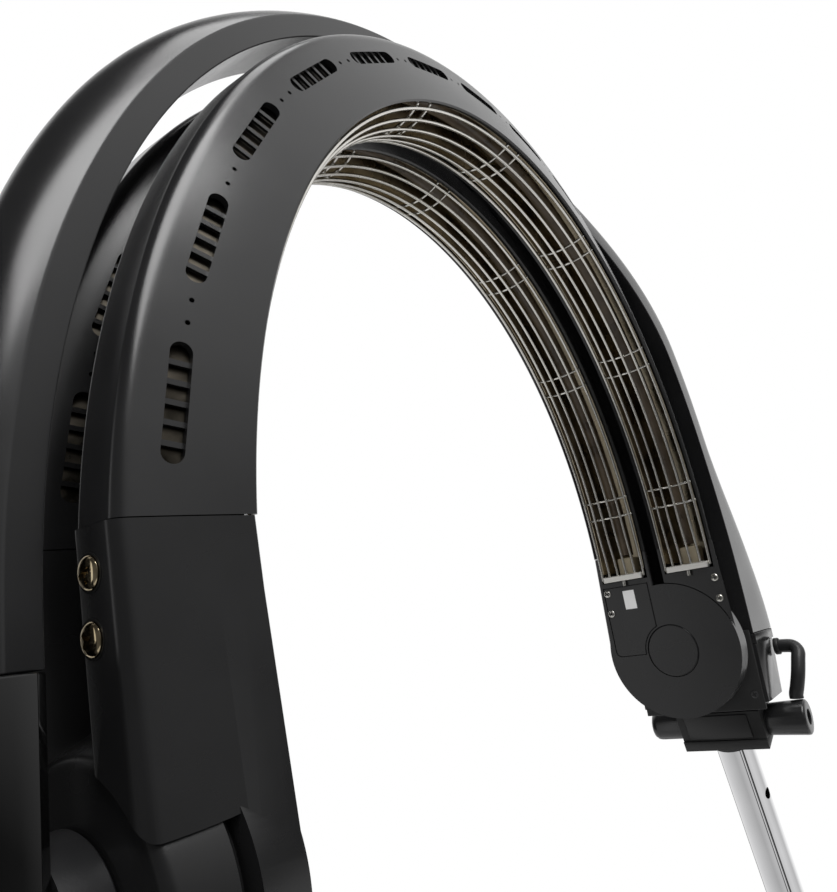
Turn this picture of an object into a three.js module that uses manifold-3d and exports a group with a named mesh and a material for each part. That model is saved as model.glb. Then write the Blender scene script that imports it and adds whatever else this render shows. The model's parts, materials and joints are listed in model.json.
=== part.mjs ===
// Hair color processor: two heated arches that swing on shared hubs, carried by a fixed outer arm that
// tilts on top of a height-adjustable five-leg stand. Millimetres, +Z up.
import * as THREE from 'three';
import { mergeVertices } from 'three/addons/utils/BufferGeometryUtils.js';
import Module from 'manifold-3d';

const wasm = await Module();
wasm.setup();

// Fits
const GAP = 0.3;
const OVERCUT = 2;
const MERGE = 1e-4;

// Arch line: half an ellipse on straight legs, measured on the inner edge
const HALF_SPAN = 190;
const ARCH_RISE = 216.8;
const ARCH_CENTRE_Z = 48.85;
const ARCH_STEPS = 24;
const INNER_STEPS = 18;
const ARCH_MIDDLE_Y = 22.05;
const SEAM_Z = 66;
const MOUTH_FLOOR_Z = 48.5;

// Arch shell section: an open channel that narrows outwards, half of it from the mouth to the crown
const SHELL_DEPTH = 34;
const SHELL_HALF_MOUTH = 18.5;
const SHELL_LEAN = 0.3;
const SHELL_SHOULDER = 29;
const SHELL_HALF_CROWN = 6.5;
const SHELL_HALF = [
  [0, SHELL_HALF_MOUTH], [16.3, 13.6], [29.5, 9.8], [33, 8.2], [SHELL_DEPTH, SHELL_HALF_CROWN],
];
const SHELL_WALL = 2.2;

// Vents in the side faces of the shells
const VENT_LENGTH = 33;
const VENT_WIDTH = 6;
const VENT_OFFSET = 21.1;
const VENT_HALF_GAP = 11.5;
const VENT_COUNT = 13;
const VENT_FIRST_TURN = 11.13;
const VENT_PITCH_TURN = 12.625;
const VENT_CUT_DEPTH = 9;
const VENT_ROUND = 60;

// Reflector, heater and their holders
const REFLECTOR_SHEET = 0.8;
const REFLECTOR_INSET = 2;
const REFLECTOR_START_Z = 55;
const HEATER_RADIUS = 4.5;
const HEATER_OFFSET = 15;
const HEATER_START_Z = 66;
const HEATER_SIDES = 6;
const HOLDER_HALF_WIDTH = 5.5;
const HOLDER_DEPTH = 12;
const HOLDER_TOP_Z = 64;

// Wire guard
const WIRE = 2.2;
const WIRE_SIDES = [3, 9, 14.5];
const GUARD_BULGE = 5;
const GUARD_HALF_WIDTH = 17;
const CROSS_TURNS = [19, 44, 68, 93, 118, 142, 167];
const CROSS_HALF_PAIR_TURN = 1.6;
const CROSS_SHARES = [-1, -0.45, 0.45, 1];
const BAR_LENGTH = 27.5;
const BAR_HEIGHT = 4;
const BAR_DEPTH = 4.5;

// Hubs, on an axis that slopes down a little towards the near end
const HUB_SLOPE = 2.84;
const HUB_MIDDLE = [3.7, 0, -9.24];
const DISC_RADIUS = 42.7;
const DISC_THICK = 13.7;
const DISC_SIDES = 32;
const LEG_RINGS = [[0, 1.116], [66, 1], [100, 1]];
const CAP_RADIUS = 16.4;
const CAP_THICK = 4;
const AXLE_RADIUS = 6;
const FLANGE_RADIUS = 20;
const DISC_BACK_X = HALF_SPAN + DISC_THICK;
const GROOVE_X = DISC_BACK_X + 2 * GAP;
const GROOVE_RADIUS = 37;
const DRUM_X = 206.8;
const DRUM_RADIUS = 40;
const DRUM_TAPER = 0.34;
const DRUM_END_X = 222;
const DRUM_EDGE = 1.5;
const DRUM_ROOM = 1;
const FLANGE_X = DRUM_END_X + GAP;
const PLATE_ROOM_RADIUS = 44;
const BEHIND_X = HALF_SPAN + SHELL_DEPTH + OVERCUT;
const AXLE_END_X = 236;
const CLEAR_REACH = 300;
const COVER_THICK = 2;
const COVER_TOP_Z = 45;
const COVER_LOW_Z = -0.5;
const COVER_INNER_Y = 7.3;
const COVER_OUTER_Y = 38.5;
const COVER_CORNER = 4;
const COVER_CAP_GAP = 1.6;

// Carrying arm: a gabled section, narrow over the near half and wide and deep at its root
const ARM_INNER = 41;
const ARM_SHOULDER = 51;
const ARM_NEAR_RIDGE = 64;
const ARM_CROWN_RIDGE = 55.5;
const ARM_FAR_RIDGE = 60;
const ARM_NEAR_TURNS = [20, 85];
const ARM_FAR_TURNS = [95, 130];
const ARM_HALF_WIDTH = 14;
const ARM_HALF_RIDGE = 4;
const ARM_WIDE_HALF_WIDTH = 39.5;
const ARM_WIDE_HALF_RIDGE = 36;
const ARM_WIDEN_FROM = 98;
const ARM_WIDEN_TO = 147;
const ARM_STEPS = 28;
const ARM_NEAR_Z = 35;
const ROOT_RISE = 140;
const ROOT_SHOULDER = 72;
const ROOT_RIDGE = 97;
const ROOT_HALF_WIDTH = 42;
const ROOT_HALF_RIDGE = 39.5;
const ROOT_RING_SHARES = [0.7, 0.35, 0];
const BAND_HEIGHT = 7;
const BAND_PROUD = 0.8;

// Root housing, in the plane of the arm
const ROOT_INNER_X = HALF_SPAN + ARM_INNER;
const ROOT_LOW_SHOULDER = 48;
const ROOT_LOW_RIDGE = 89;
const ROOT_LOW_Z = -40;
const PLATE_THICK = 2.3;
const PLATE_LOW_Z = -44;
const PLATE_HIGH_Z = 6;
const PLATE_HALF_WIDTH = 40;
const PLATE_HOLE_RADIUS = 24;
const PLATE_HOLE_Z = 2;

// Control housing on the near end of the arm
const CONTROL_DEPTH = 36;
const CONTROL_HALF_WIDTH = 20;
const CONTROL_LOW_Z = -88;
const CONTROL_CHAMFER = 5;
const CONTROL_WALL = 3;
const PANEL_THICK = 2.5;
const PANEL_HALF_WIDTH = 16;
const PANEL_TOP_Z = 28;
const PANEL_LOW_Z = -80;
const WINDOW_HALF_WIDTH = 12;
const WINDOW_TOP_Z = 22;
const WINDOW_LOW_Z = -18;
const BUTTON_RADIUS = 4.5;
const BUTTON_PROUD = 2;
const BUTTON_ROWS = [-34, -62];
const BUTTON_COLUMNS = [-7, 7];
const BUTTON_NAMES = ['power_button', 'mode_button', 'time_up_button', 'time_down_button'];
const BOARD_THICK = 1.6;
const BOARD_INSET = 9;
const BOARD_CLEAR = 1;

// Tilt joint: places are from the tilt axis
const HEAD_TILT = 20.6;
const TILT_X = 270;
const TILT_Z = -56;
const TONGUE_RADIUS = 8.5;
const TONGUE_HALF_THICK = 7;
const TONGUE_HALF_WIDTH = 12;
const BLOCK_FRONT_X = -16;
const BLOCK_LOW_Z = -12;
const BLOCK_TOP_Z = 15;
const BLOCK_ROUND = 15.5;
const BLOCK_ROUND_FROM = 104.6;
const BLOCK_ROUND_TO = -50.7;
const BLOCK_HALF_WIDTH = 28.5;
const LIP_PROUD = 1.5;
const LIP_TOP_Z = -5;
const SLOT_FRONT_X = -11;
const SLOT_LOW_Z = -9.2;
const SPIGOT_RADIUS = 10.7;
const SPIGOT_LOW_Z = -45;
const PIN_RADIUS = 4;
const BARREL_START = BLOCK_HALF_WIDTH + GAP;
const BARREL_EDGE = 2;
const FRONT_BARREL = { start: 10.5, finish: 11.5, end: 55, recess: 5, depth: 10 };
const REAR_BARREL = { start: 10.3, finish: 10.3, end: 52, recess: 2, depth: 2 };
const RATING_THICK = 0.8;
const RATING_LOW = [-20, -3.5];
const RATING_HIGH = [23, 13.5];

// Head cable
const CABLE_RADIUS = 4.5;
const CABLE_SIDES = 10;
const CABLE_STEPS = 16;
const GLAND_RADIUS = 5.7;
const GLAND_START_Y = -44.6;
const GLAND_END_Y = -41.3;
const CABLE_ROUTE = [
  [280.5, -41.4, -9.5], [280.5, -47, -9.6], [280, -53, -10.5], [278, -56, -14], [274.5, -55.8, -19],
  [271, -54.3, -28], [270, -52, -36], [270, -50.2, -41], [270, -50, -43.8],
];

// Stand
const TILT_HEIGHT = 1100;
const POST_RADIUS = 12.5;
const POST_WALL = 1.5;
const POST_LOW_Z = 300;
const POST_TOP_Z = -12.3;
const COLLAR_RADIUS = 15;
const COLLAR_TOP_Z = -12.6;
const COLLAR_HEIGHT = 2.7;
const LOWER_TUBE_RADIUS = 16;
const LOWER_TUBE_TOP = 640;
const CLAMP_RADIUS = 24;
const CLAMP_LOW_Z = 606;
const CLAMP_TOP_Z = 662;
const CLAMP_EDGE = 2;
const CLAMP_CHAMFER = 6;
const KNOB_Z = 628;
const KNOB_RADIUS = 15;
const KNOB_LENGTH = 24;
const KNOB_STEM_RADIUS = 5;
const KNOB_LOBES = 6;
const KNOB_LOBE_STEPS = 4;
const KNOB_LOBE_SHARE = 0.08;
const KNOB_GRIP_SHARE = 0.4;
const KNOB_STEM_SHARE = 0.5;
const BASE_RADIUS = 300;
const BASE_LEGS = 5;
const BASE_UNDER_Z = 62;
const BASE_HUB_RADIUS = 42;
const BASE_HUB_TOP = 124;
const BASE_HUB_NECK = 26;
const BASE_SOCKET_Z = 74;
const LEG_ROOT_HEIGHT = 42;
const LEG_TIP_HEIGHT = 24;
const LEG_ROOT_HALF_WIDTH = 24;
const LEG_TIP_HALF_WIDTH = 16;
const LEG_START = 12.6;
const LEG_SHOULDER_SHARE = 0.6;
const LEG_TOP_SHARE = 0.5;
const LEG_END_SHARE = 0.9;
const WHEEL_RADIUS = 25;
const WHEEL_HALF_WIDTH = 9;
const WHEEL_EDGE = 3;
const WHEEL_TREAD_EDGE = 4;
const CASTER_TRAIL = 16;
const FORK_CHEEK = 3;
const FORK_HALF_WIDTH = 13;
const FORK_REACH = 12;
const FORK_PLATE = 5;
const FORK_TOP_RADIUS = 17;
const FORK_ROOT_SHARE = 0.8;
const FORK_SIDE_SHARE = 0.7;
const FORK_LOW_SHARE = 0.6;
const FORK_LAP = 1;

// Sides of round pieces
const SMALL_SIDES = 16;
const ROUND_SIDES = 20;
const FINE_SIDES = 28;
const HUB_SIDES = 30;

// Colours
const BLACK_SATIN = { color: 0x202020, roughness: 0.38, metalness: 0 };
const BLACK_GLOSS = { color: 0x141414, roughness: 0.2, metalness: 0 };
const BLACK_MATT = { color: 0x262626, roughness: 0.6, metalness: 0 };
const CHROME = { color: 0xd8d8da, roughness: 0.08, metalness: 1 };
const NICKEL = { color: 0xc9c4b8, roughness: 0.25, metalness: 1 };
const REFLECTOR_METAL = { color: 0x9c8c66, roughness: 0.3, metalness: 1 };
const CERAMIC = { color: 0xe4ddcc, roughness: 0.6, metalness: 0 };
const QUARTZ = { color: 0x4a3a2c, roughness: 0.25, metalness: 0 };
const DARK_GLASS = { color: 0x2a0d0d, roughness: 0.08, metalness: 0 };
const GREY_RUBBER = { color: 0x3a3a3c, roughness: 0.7, metalness: 0 };
const BOARD_GREEN = { color: 0x1d5a36, roughness: 0.5, metalness: 0 };
const STEEL = { color: 0x9a9a9e, roughness: 0.35, metalness: 1 };

const radians = THREE.MathUtils.degToRad;
const smoothstep = THREE.MathUtils.smoothstep;
const range = (count) => Array.from({ length: count }, (unused, index) => index);

// Closed solid from a geometry, with shared corners merged
function solid(geometry) {
  const bare = geometry.index ? geometry.toNonIndexed() : geometry.clone();
  bare.deleteAttribute('normal');
  bare.deleteAttribute('uv');
  const merged = mergeVertices(bare, MERGE);
  const vertProperties = new Float32Array(merged.attributes.position.array);
  const triVerts = new Uint32Array(merged.index.array);
  return new wasm.Manifold(new wasm.Mesh({ numProp: 3, vertProperties, triVerts }));
}

// Geometry from a solid
function shape(body) {
  const { vertProperties, triVerts } = body.getMesh();
  const geometry = new THREE.BufferGeometry();
  geometry.setAttribute('position', new THREE.BufferAttribute(new Float32Array(vertProperties), 3));
  geometry.setIndex(new THREE.BufferAttribute(new Uint32Array(triVerts), 1));
  geometry.computeVertexNormals();
  return geometry;
}

const cut = (body, ...tools) => tools.reduce((left, tool) => left.subtract(tool), body);
const join = (...bodies) => bodies.reduce((left, body) => left.add(body));

// Signed volume of a closed triangle list, positive when the faces point out
function signedVolume(points, index) {
  let sum = 0;
  for (let corner = 0; corner < index.length; corner += 3) {
    const [a, b, c] = [0, 1, 2].map((step) => points[index[corner + step]]);
    sum += a.dot(b.clone().cross(c));
  }
  return sum;
}

// Skin over a run of like rings, closed at both ends by the section's own outline
function loft(rings, outline) {
  const size = outline.length;
  const points = rings.flat();
  const index = [];
  for (const ring of range(rings.length - 1)) {
    for (const corner of range(size)) {
      const here = ring * size + corner;
      const next = ring * size + (corner + 1) % size;
      index.push(here, next, next + size, here, next + size, here + size);
    }
  }
  const flat = outline.map(([across, along]) => new THREE.Vector2(across, along));
  const turnsLeft = THREE.ShapeUtils.area(flat) > 0;
  const last = points.length - size;
  for (const face of THREE.ShapeUtils.triangulateShape(flat, [])) {
    const faceLeft = THREE.ShapeUtils.area(face.map((corner) => flat[corner])) > 0;
    const [a, b, c] = faceLeft === turnsLeft ? face : [face[0], face[2], face[1]];
    index.push(a, c, b, last + a, last + b, last + c);
  }
  const facing = signedVolume(points, index) > 0 ? index : index.slice().reverse();
  const geometry = new THREE.BufferGeometry();
  geometry.setFromPoints(points);
  geometry.setIndex(facing);
  geometry.computeVertexNormals();
  return geometry;
}

// Prism of a flat outline: the outline lies in two axes and is drawn out along the third
function prism(outline, low, high, place) {
  const rings = [low, high].map((depth) => outline.map(([first, second]) => place(first, second, depth)));
  return loft(rings, outline);
}
const alongX = (y, z, x) => new THREE.Vector3(x, y, z);
const alongY = (x, z, y) => new THREE.Vector3(x, y, z);
const alongZ = (x, y, z) => new THREE.Vector3(x, y, z);

// Round outline, or part of one, by angle in degrees
function arc(centre, radius, from, to, steps) {
  return range(steps + 1).map((step) => {
    const angle = radians(from + (to - from) * step / steps);
    return [centre[0] + radius * Math.cos(angle), centre[1] + radius * Math.sin(angle)];
  });
}
const circle = (centre, radius, sides) => arc(centre, radius, 0, 360 - 360 / sides, sides - 1);

const box = (low, high) => prism(
  [[low[0], low[1]], [high[0], low[1]], [high[0], high[1]], [low[0], high[1]]], low[2], high[2], alongZ);

const rodX = (radius, low, high, sides = DISC_SIDES) => prism(
  circle([0, 0], radius, sides), low, high, alongX);

// Round piece about Z from a profile of radius and height
const turned = (profile, sides) => {
  const points = profile.map(([radius, height]) => new THREE.Vector2(radius, height));
  return new THREE.LatheGeometry(points, sides).rotateX(Math.PI / 2);
};

// Point on the arch line, pushed out by an offset
function archPoint(offset, y, turn) {
  const x = -(HALF_SPAN + offset) * Math.cos(turn);
  const z = ARCH_CENTRE_Z + (ARCH_RISE + offset) * Math.sin(turn);
  return new THREE.Vector3(x, y, z);
}

// Rings of a section that runs over the arch from a level on one side to the same level on the other
function archRings(section, middleY, startZ, steps = ARCH_STEPS) {
  return range(steps + 1).map((step) => section.map(([offset, side]) => {
    const start = Math.asin((startZ - ARCH_CENTRE_Z) / (ARCH_RISE + offset));
    const turn = start + (Math.PI - 2 * start) * step / steps;
    return archPoint(offset, middleY + side, turn);
  }));
}
const overArch = (section, middleY, startZ, steps) => loft(
  archRings(section, middleY, startZ, steps), section);

const mirrored = (half) => [...half, ...half.map(([offset, side]) => [offset, -side]).reverse()];

// Half of a line that follows the shell inside it, at a distance from its outside
const insideShell = (distance, startOffset) => [
  [startOffset, SHELL_HALF_MOUTH - SHELL_LEAN * startOffset - distance],
  [SHELL_SHOULDER, SHELL_HALF_MOUTH - SHELL_LEAN * SHELL_SHOULDER - distance],
  [SHELL_DEPTH - distance, SHELL_HALF_CROWN - distance / 2],
];

const channel = (outerHalf, innerHalf) => [...mirrored(outerHalf), ...mirrored(innerHalf).reverse()];

// One vent cutter, a slot with round ends that runs square through the arch's leaning side wall
function ventCutter(side, turn) {
  const half = VENT_LENGTH / 2 - VENT_WIDTH / 2;
  const right = arc([half, 0], VENT_WIDTH / 2, -VENT_ROUND, VENT_ROUND, 1);
  const outline = [...right, ...right.map(([x, y]) => [-x, -y])];
  const slot = prism(outline, -VENT_CUT_DEPTH, VENT_CUT_DEPTH, alongZ);
  const ahead = archPoint(VENT_OFFSET, 0, turn + MERGE);
  const along = ahead.sub(archPoint(VENT_OFFSET, 0, turn - MERGE)).normalize();
  const outwards = new THREE.Vector3(-along.z, 0, along.x);
  const normal = new THREE.Vector3(0, side, 0).addScaledVector(outwards, SHELL_LEAN).normalize();
  const across = new THREE.Vector3().crossVectors(normal, along);
  const frame = new THREE.Matrix4().makeBasis(along, across, normal);
  frame.setPosition(archPoint(VENT_OFFSET, VENT_HALF_GAP * side, turn));
  return solid(slot.applyMatrix4(frame));
}

function archShell(middleY) {
  const section = channel(SHELL_HALF, insideShell(SHELL_WALL, 0));
  let body = solid(overArch(section, 0, SEAM_Z));
  for (const side of [-1, 1]) {
    for (const vent of range(VENT_COUNT)) {
      body = cut(body, ventCutter(side, radians(VENT_FIRST_TURN + VENT_PITCH_TURN * vent)));
    }
  }
  return shape(body).translate(0, middleY, 0);
}

function reflector(middleY) {
  const outer = insideShell(SHELL_WALL + 2 * GAP, REFLECTOR_INSET);
  const inner = insideShell(SHELL_WALL + 2 * GAP + REFLECTOR_SHEET, REFLECTOR_INSET);
  return overArch(channel(outer, inner), middleY, REFLECTOR_START_Z, INNER_STEPS);
}

const heater = (middleY) => overArch(
  circle([HEATER_OFFSET, 0], HEATER_RADIUS, HEATER_SIDES), middleY, HEATER_START_Z, INNER_STEPS);

function heaterHolder(middleY, end) {
  const inner = end * (HALF_SPAN + HEATER_OFFSET - HOLDER_DEPTH / 2);
  const outer = end * (HALF_SPAN + HEATER_OFFSET + HOLDER_DEPTH / 2);
  const low = [Math.min(inner, outer), middleY - HOLDER_HALF_WIDTH, MOUTH_FLOOR_Z + GAP];
  const high = [Math.max(inner, outer), middleY + HOLDER_HALF_WIDTH, HOLDER_TOP_Z];
  return box(low, high);
}

// How far the guard bows in past the mouth at a distance from its middle line
const bulge = (side) => GUARD_BULGE * (1 - (side / GUARD_HALF_WIDTH) ** 2);

const squareAt = (offset, side) => [
  [offset - WIRE / 2, side - WIRE / 2], [offset + WIRE / 2, side - WIRE / 2],
  [offset + WIRE / 2, side + WIRE / 2], [offset - WIRE / 2, side + WIRE / 2]];

// Cross wire: a bow from one edge of the mouth to the other
function crossWire(turn) {
  const sides = CROSS_SHARES.map((share) => share * (GUARD_HALF_WIDTH - WIRE));
  const corners = [[-1, -1], [1, -1], [1, 1], [-1, 1]];
  const route = sides.map((side) => archPoint(-bulge(side) + WIRE / 2, side, turn));
  const rings = route.map((point) => {
    const out = archPoint(1, 0, turn).sub(archPoint(0, 0, turn)).multiplyScalar(WIRE / 2);
    const along = archPoint(0, 0, turn + MERGE).sub(archPoint(0, 0, turn - MERGE)).setLength(WIRE / 2);
    return corners.map(
      ([first, second]) => point.clone().addScaledVector(out, first).addScaledVector(along, second));
  });
  return solid(loft(rings, corners));
}

function wireGuard(middleY) {
  const wireStart = MOUTH_FLOOR_Z + BAR_HEIGHT / 2;
  const wires = WIRE_SIDES.flatMap((side) => [side, -side]).map(
    (side) => solid(overArch(squareAt(-bulge(side), side), 0, wireStart, INNER_STEPS)));
  const turns = CROSS_TURNS.flatMap((turn) => [turn - CROSS_HALF_PAIR_TURN, turn + CROSS_HALF_PAIR_TURN]);
  const crosses = turns.map((turn) => crossWire(radians(turn)));
  const bars = [-1, 1].map((end) => {
    const inner = end * (HALF_SPAN - GUARD_BULGE - WIRE / 2);
    const outer = inner + end * (BAR_DEPTH + GUARD_BULGE);
    const low = [Math.min(inner, outer), -BAR_LENGTH / 2, MOUTH_FLOOR_Z + GAP];
    const high = [Math.max(inner, outer), BAR_LENGTH / 2, MOUTH_FLOOR_Z + GAP + BAR_HEIGHT];
    return solid(box(low, high));
  });
  return shape(join(...bars, ...wires, ...crosses)).translate(0, middleY, 0);
}

// Place of the hub axis: pieces on it are made at +X, turned to their end and then laid on the sloped axis
const hubFrame = new THREE.Matrix4().makeRotationY(-radians(HUB_SLOPE)).setPosition(...HUB_MIDDLE);
const onHubs = (geometry, turn) => geometry.rotateZ(turn).applyMatrix4(hubFrame);

// Round solid on the hub axis from a profile of radius and distance
const hubTurned = (profile) => solid(turned(profile, DISC_SIDES).rotateY(Math.PI / 2));

// Radius of the outer hub's tapered drum at a distance along the axis
const drumAt = (x) => DRUM_RADIUS - DRUM_TAPER * (x - DRUM_X);

// Leg of an end block, its outer side spread at the foot to run into the hub disc
function endLeg(side) {
  const section = mirrored(SHELL_HALF);
  const rings = LEG_RINGS.map(([z, spread]) => section.map(([offset, across]) => {
    const share = across * side > 0 ? spread : 1;
    return new THREE.Vector3(HALF_SPAN + offset, side * ARCH_MIDDLE_Y + across * share, z);
  }));
  return solid(loft(rings, section));
}

// The inner kind of end: a disc on the mouth side, with the leg cut clear of the other arch's drum
function innerEnd(side) {
  const drumRoom = hubTurned([
    [0, DISC_BACK_X], [drumAt(DISC_BACK_X) + DRUM_ROOM, DISC_BACK_X],
    [drumAt(BEHIND_X) + DRUM_ROOM, BEHIND_X], [0, BEHIND_X]]);
  const disc = solid(rodX(DISC_RADIUS, HALF_SPAN, DISC_BACK_X));
  const capSeat = solid(rodX(CAP_RADIUS + GAP, HALF_SPAN - OVERCUT, HALF_SPAN + CAP_THICK + GAP));
  const coverFaces = [HALF_SPAN - OVERCUT, HALF_SPAN + COVER_THICK + GAP];
  const coverSeat = solid(prism(coverOutline(side, GAP), ...coverFaces, alongX));
  return cut(join(cut(endLeg(side), drumRoom), disc), capSeat, coverSeat);
}

// The outer kind of end: a grooved, tapered drum behind the other arch's disc
function outerEnd(side) {
  const discRoom = solid(rodX(DISC_RADIUS + 2 * GAP, HALF_SPAN - OVERCUT, GROOVE_X));
  const edgeX = DRUM_END_X - DRUM_EDGE;
  const drum = hubTurned([
    [0, GROOVE_X], [GROOVE_RADIUS, GROOVE_X], [GROOVE_RADIUS, DRUM_X], [DRUM_RADIUS, DRUM_X],
    [drumAt(edgeX), edgeX], [drumAt(edgeX) - DRUM_EDGE, DRUM_END_X], [0, DRUM_END_X]]);
  return join(cut(endLeg(side), discRoom), drum);
}

// End block of an arch in its place, hollow above the mouth floor
function endBlock(inner, side, turn) {
  const bore = solid(rodX(AXLE_RADIUS + GAP, HALF_SPAN - OVERCUT, BEHIND_X));
  const roomRadius = turn === 0 ? PLATE_ROOM_RADIUS : FLANGE_RADIUS + 2 * GAP;
  const room = solid(rodX(roomRadius, FLANGE_X, BEHIND_X));
  const end = cut(inner ? innerEnd(side) : outerEnd(side), bore, room);
  const hollow = mirrored(insideShell(SHELL_WALL, -OVERCUT));
  const outline = hollow.map(([offset, across]) => [HALF_SPAN + offset, side * ARCH_MIDDLE_Y + across]);
  const mouth = solid(prism(outline, MOUTH_FLOOR_Z, SEAM_Z + OVERCUT, alongZ).rotateZ(turn));
  const above = solid(box(
    [-CLEAR_REACH, -CLEAR_REACH, SEAM_Z - GAP], [CLEAR_REACH, CLEAR_REACH, CLEAR_REACH]));
  return shape(cut(solid(onHubs(shape(end), turn)), mouth, above));
}

// Outline of the access cover beside the hub cap, grown by a clearance for its seat
function coverOutline(side, clearance) {
  const radius = CAP_RADIUS + COVER_CAP_GAP - clearance;
  const inner = COVER_INNER_Y - clearance;
  const outer = COVER_OUTER_Y + clearance;
  const low = COVER_LOW_Z - clearance;
  const high = COVER_TOP_Z + clearance;
  const angleOf = (cosine) => THREE.MathUtils.radToDeg(Math.acos(cosine));
  const capAngles = [angleOf(inner / radius), THREE.MathUtils.radToDeg(Math.asin(low / radius))];
  const outline = [
    [inner, high], ...arc([0, 0], radius, ...capAngles, 6),
    ...arc([outer - COVER_CORNER, low + COVER_CORNER], COVER_CORNER, 270, 360, 3), [outer, high]];
  return outline.map(([y, z]) => [side * y, z]);
}

const coverPlate = (side) => prism(coverOutline(side, 0), HALF_SPAN, HALF_SPAN + COVER_THICK, alongX);

// Axle with a flange that ends flat against the carrying arm
function hubAxle(turn) {
  const stem = solid(rodX(AXLE_RADIUS, HALF_SPAN + CAP_THICK + 2 * GAP, FLANGE_X + GAP, ROUND_SIDES));
  const flange = solid(rodX(FLANGE_RADIUS, FLANGE_X, AXLE_END_X, FINE_SIDES));
  const past = box([ROOT_INNER_X - GAP, -CLEAR_REACH, -CLEAR_REACH], [CLEAR_REACH, CLEAR_REACH, CLEAR_REACH]);
  return shape(cut(solid(onHubs(shape(join(stem, flange)), turn)), solid(past.rotateZ(turn))));
}

const hubCap = () => rodX(CAP_RADIUS, HALF_SPAN, HALF_SPAN + CAP_THICK);

// Gabled section of the carrying arm: flat sides from the inner face to the shoulders, then to the ridge
const armSection = (shoulder, ridge, halfWidth, halfRidge) => mirrored(
  [[ARM_INNER, halfWidth], [shoulder, halfWidth], [ridge, halfRidge]]);

// Section of the arm by its ridge, how far it has widened and how far it has deepened towards its root
function armShape(ridge, widened, rooted) {
  const { lerp } = THREE.MathUtils;
  const halfWidth = lerp(lerp(ARM_HALF_WIDTH, ARM_WIDE_HALF_WIDTH, widened), ROOT_HALF_WIDTH, rooted);
  const halfRidge = lerp(lerp(ARM_HALF_RIDGE, ARM_WIDE_HALF_RIDGE, widened), ROOT_HALF_RIDGE, rooted);
  const shoulder = lerp(ARM_SHOULDER, ROOT_SHOULDER, rooted);
  return armSection(shoulder, lerp(ridge, ROOT_RIDGE, rooted), halfWidth, halfRidge);
}

// Ridge of the arm: nearest to the arches at the crown
function ridgeAt(turn) {
  const nearShare = smoothstep(turn, ...ARM_NEAR_TURNS.map(radians));
  const farShare = smoothstep(turn, ...ARM_FAR_TURNS.map(radians));
  const near = THREE.MathUtils.lerp(ARM_NEAR_RIDGE, ARM_CROWN_RIDGE, nearShare);
  return THREE.MathUtils.lerp(near, ARM_FAR_RIDGE, farShare);
}

const rootedAt = (z) => 1 - smoothstep(z, 0, ROOT_RISE);

function carryingArm() {
  const near = armShape(ARM_NEAR_RIDGE, 0, 0);
  const rings = [near.map(([offset, y]) => new THREE.Vector3(-HALF_SPAN - offset, y, ARM_NEAR_Z))];
  for (const step of range(ARM_STEPS + 1)) {
    const turn = Math.PI * step / ARM_STEPS;
    const rooted = turn > Math.PI / 2 ? rootedAt(archPoint(ARM_FAR_RIDGE, 0, turn).z) : 0;
    const widened = smoothstep(turn, radians(ARM_WIDEN_FROM), radians(ARM_WIDEN_TO));
    rings.push(armShape(ridgeAt(turn), widened, rooted).map(([offset, y]) => archPoint(offset, y, turn)));
  }
  for (const share of ROOT_RING_SHARES) {
    const z = THREE.MathUtils.lerp(BAND_HEIGHT / 2, ARCH_CENTRE_Z, share);
    const section = armShape(ARM_FAR_RIDGE, 1, rootedAt(z));
    rings.push(section.map(([offset, y]) => new THREE.Vector3(HALF_SPAN + offset, y, z)));
  }
  return loft(rings, near);
}

const rootOutline = (section) => section.map(([offset, y]) => [HALF_SPAN + offset, y]);

// Black band round the arm's root
function rootBand() {
  const section = armSection(
    ROOT_SHOULDER, ROOT_RIDGE + BAND_PROUD, ROOT_HALF_WIDTH + BAND_PROUD, ROOT_HALF_RIDGE + BAND_PROUD);
  return prism(rootOutline(section), -BAND_HEIGHT / 2 + GAP, BAND_HEIGHT / 2 - GAP, alongZ);
}

// Root housing below the band: its shoulders and its outer side run in towards the tilt joint
function rootHousing() {
  const top = armSection(ROOT_SHOULDER, ROOT_RIDGE, ROOT_HALF_WIDTH, ROOT_HALF_RIDGE);
  const low = armSection(ROOT_LOW_SHOULDER, ROOT_LOW_RIDGE, ROOT_HALF_WIDTH, ROOT_HALF_RIDGE);
  const ring = (section, z) => rootOutline(section).map(([x, y]) => new THREE.Vector3(x, y, z));
  return loft([ring(low, ROOT_LOW_Z), ring(top, -BAND_HEIGHT / 2)], top);
}

// Flat plate under the far hub, on the inner side of the root housing
function rootPlate() {
  const outline = [
    [-PLATE_HALF_WIDTH, PLATE_HIGH_Z], [-PLATE_HALF_WIDTH, PLATE_LOW_Z],
    [PLATE_HALF_WIDTH, PLATE_LOW_Z], [PLATE_HALF_WIDTH, PLATE_HIGH_Z]];
  const high = ROOT_INNER_X - GAP;
  const plate = solid(prism(outline, high - PLATE_THICK, high, alongX));
  const hole = rodX(PLATE_HOLE_RADIUS, high - PLATE_THICK - OVERCUT, high + OVERCUT, FINE_SIDES);
  return shape(cut(plate, solid(hole.translate(0, 0, PLATE_HOLE_Z))));
}

// Tongue from the underside of the root housing down to an eye on the tilt axis
function tiltTongue() {
  const top = ROOT_LOW_Z - GAP;
  const eye = solid(prism(
    circle([TILT_X, TILT_Z], TONGUE_RADIUS, ROUND_SIDES), -TONGUE_HALF_WIDTH, TONGUE_HALF_WIDTH, alongY));
  const neck = solid(box(
    [TILT_X - TONGUE_HALF_THICK, -TONGUE_HALF_WIDTH, TILT_Z],
    [TILT_X + TONGUE_HALF_THICK, TONGUE_HALF_WIDTH, top]));
  return shape(cut(join(eye, neck), solid(pinBore(TILT_X, TILT_Z))));
}

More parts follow.
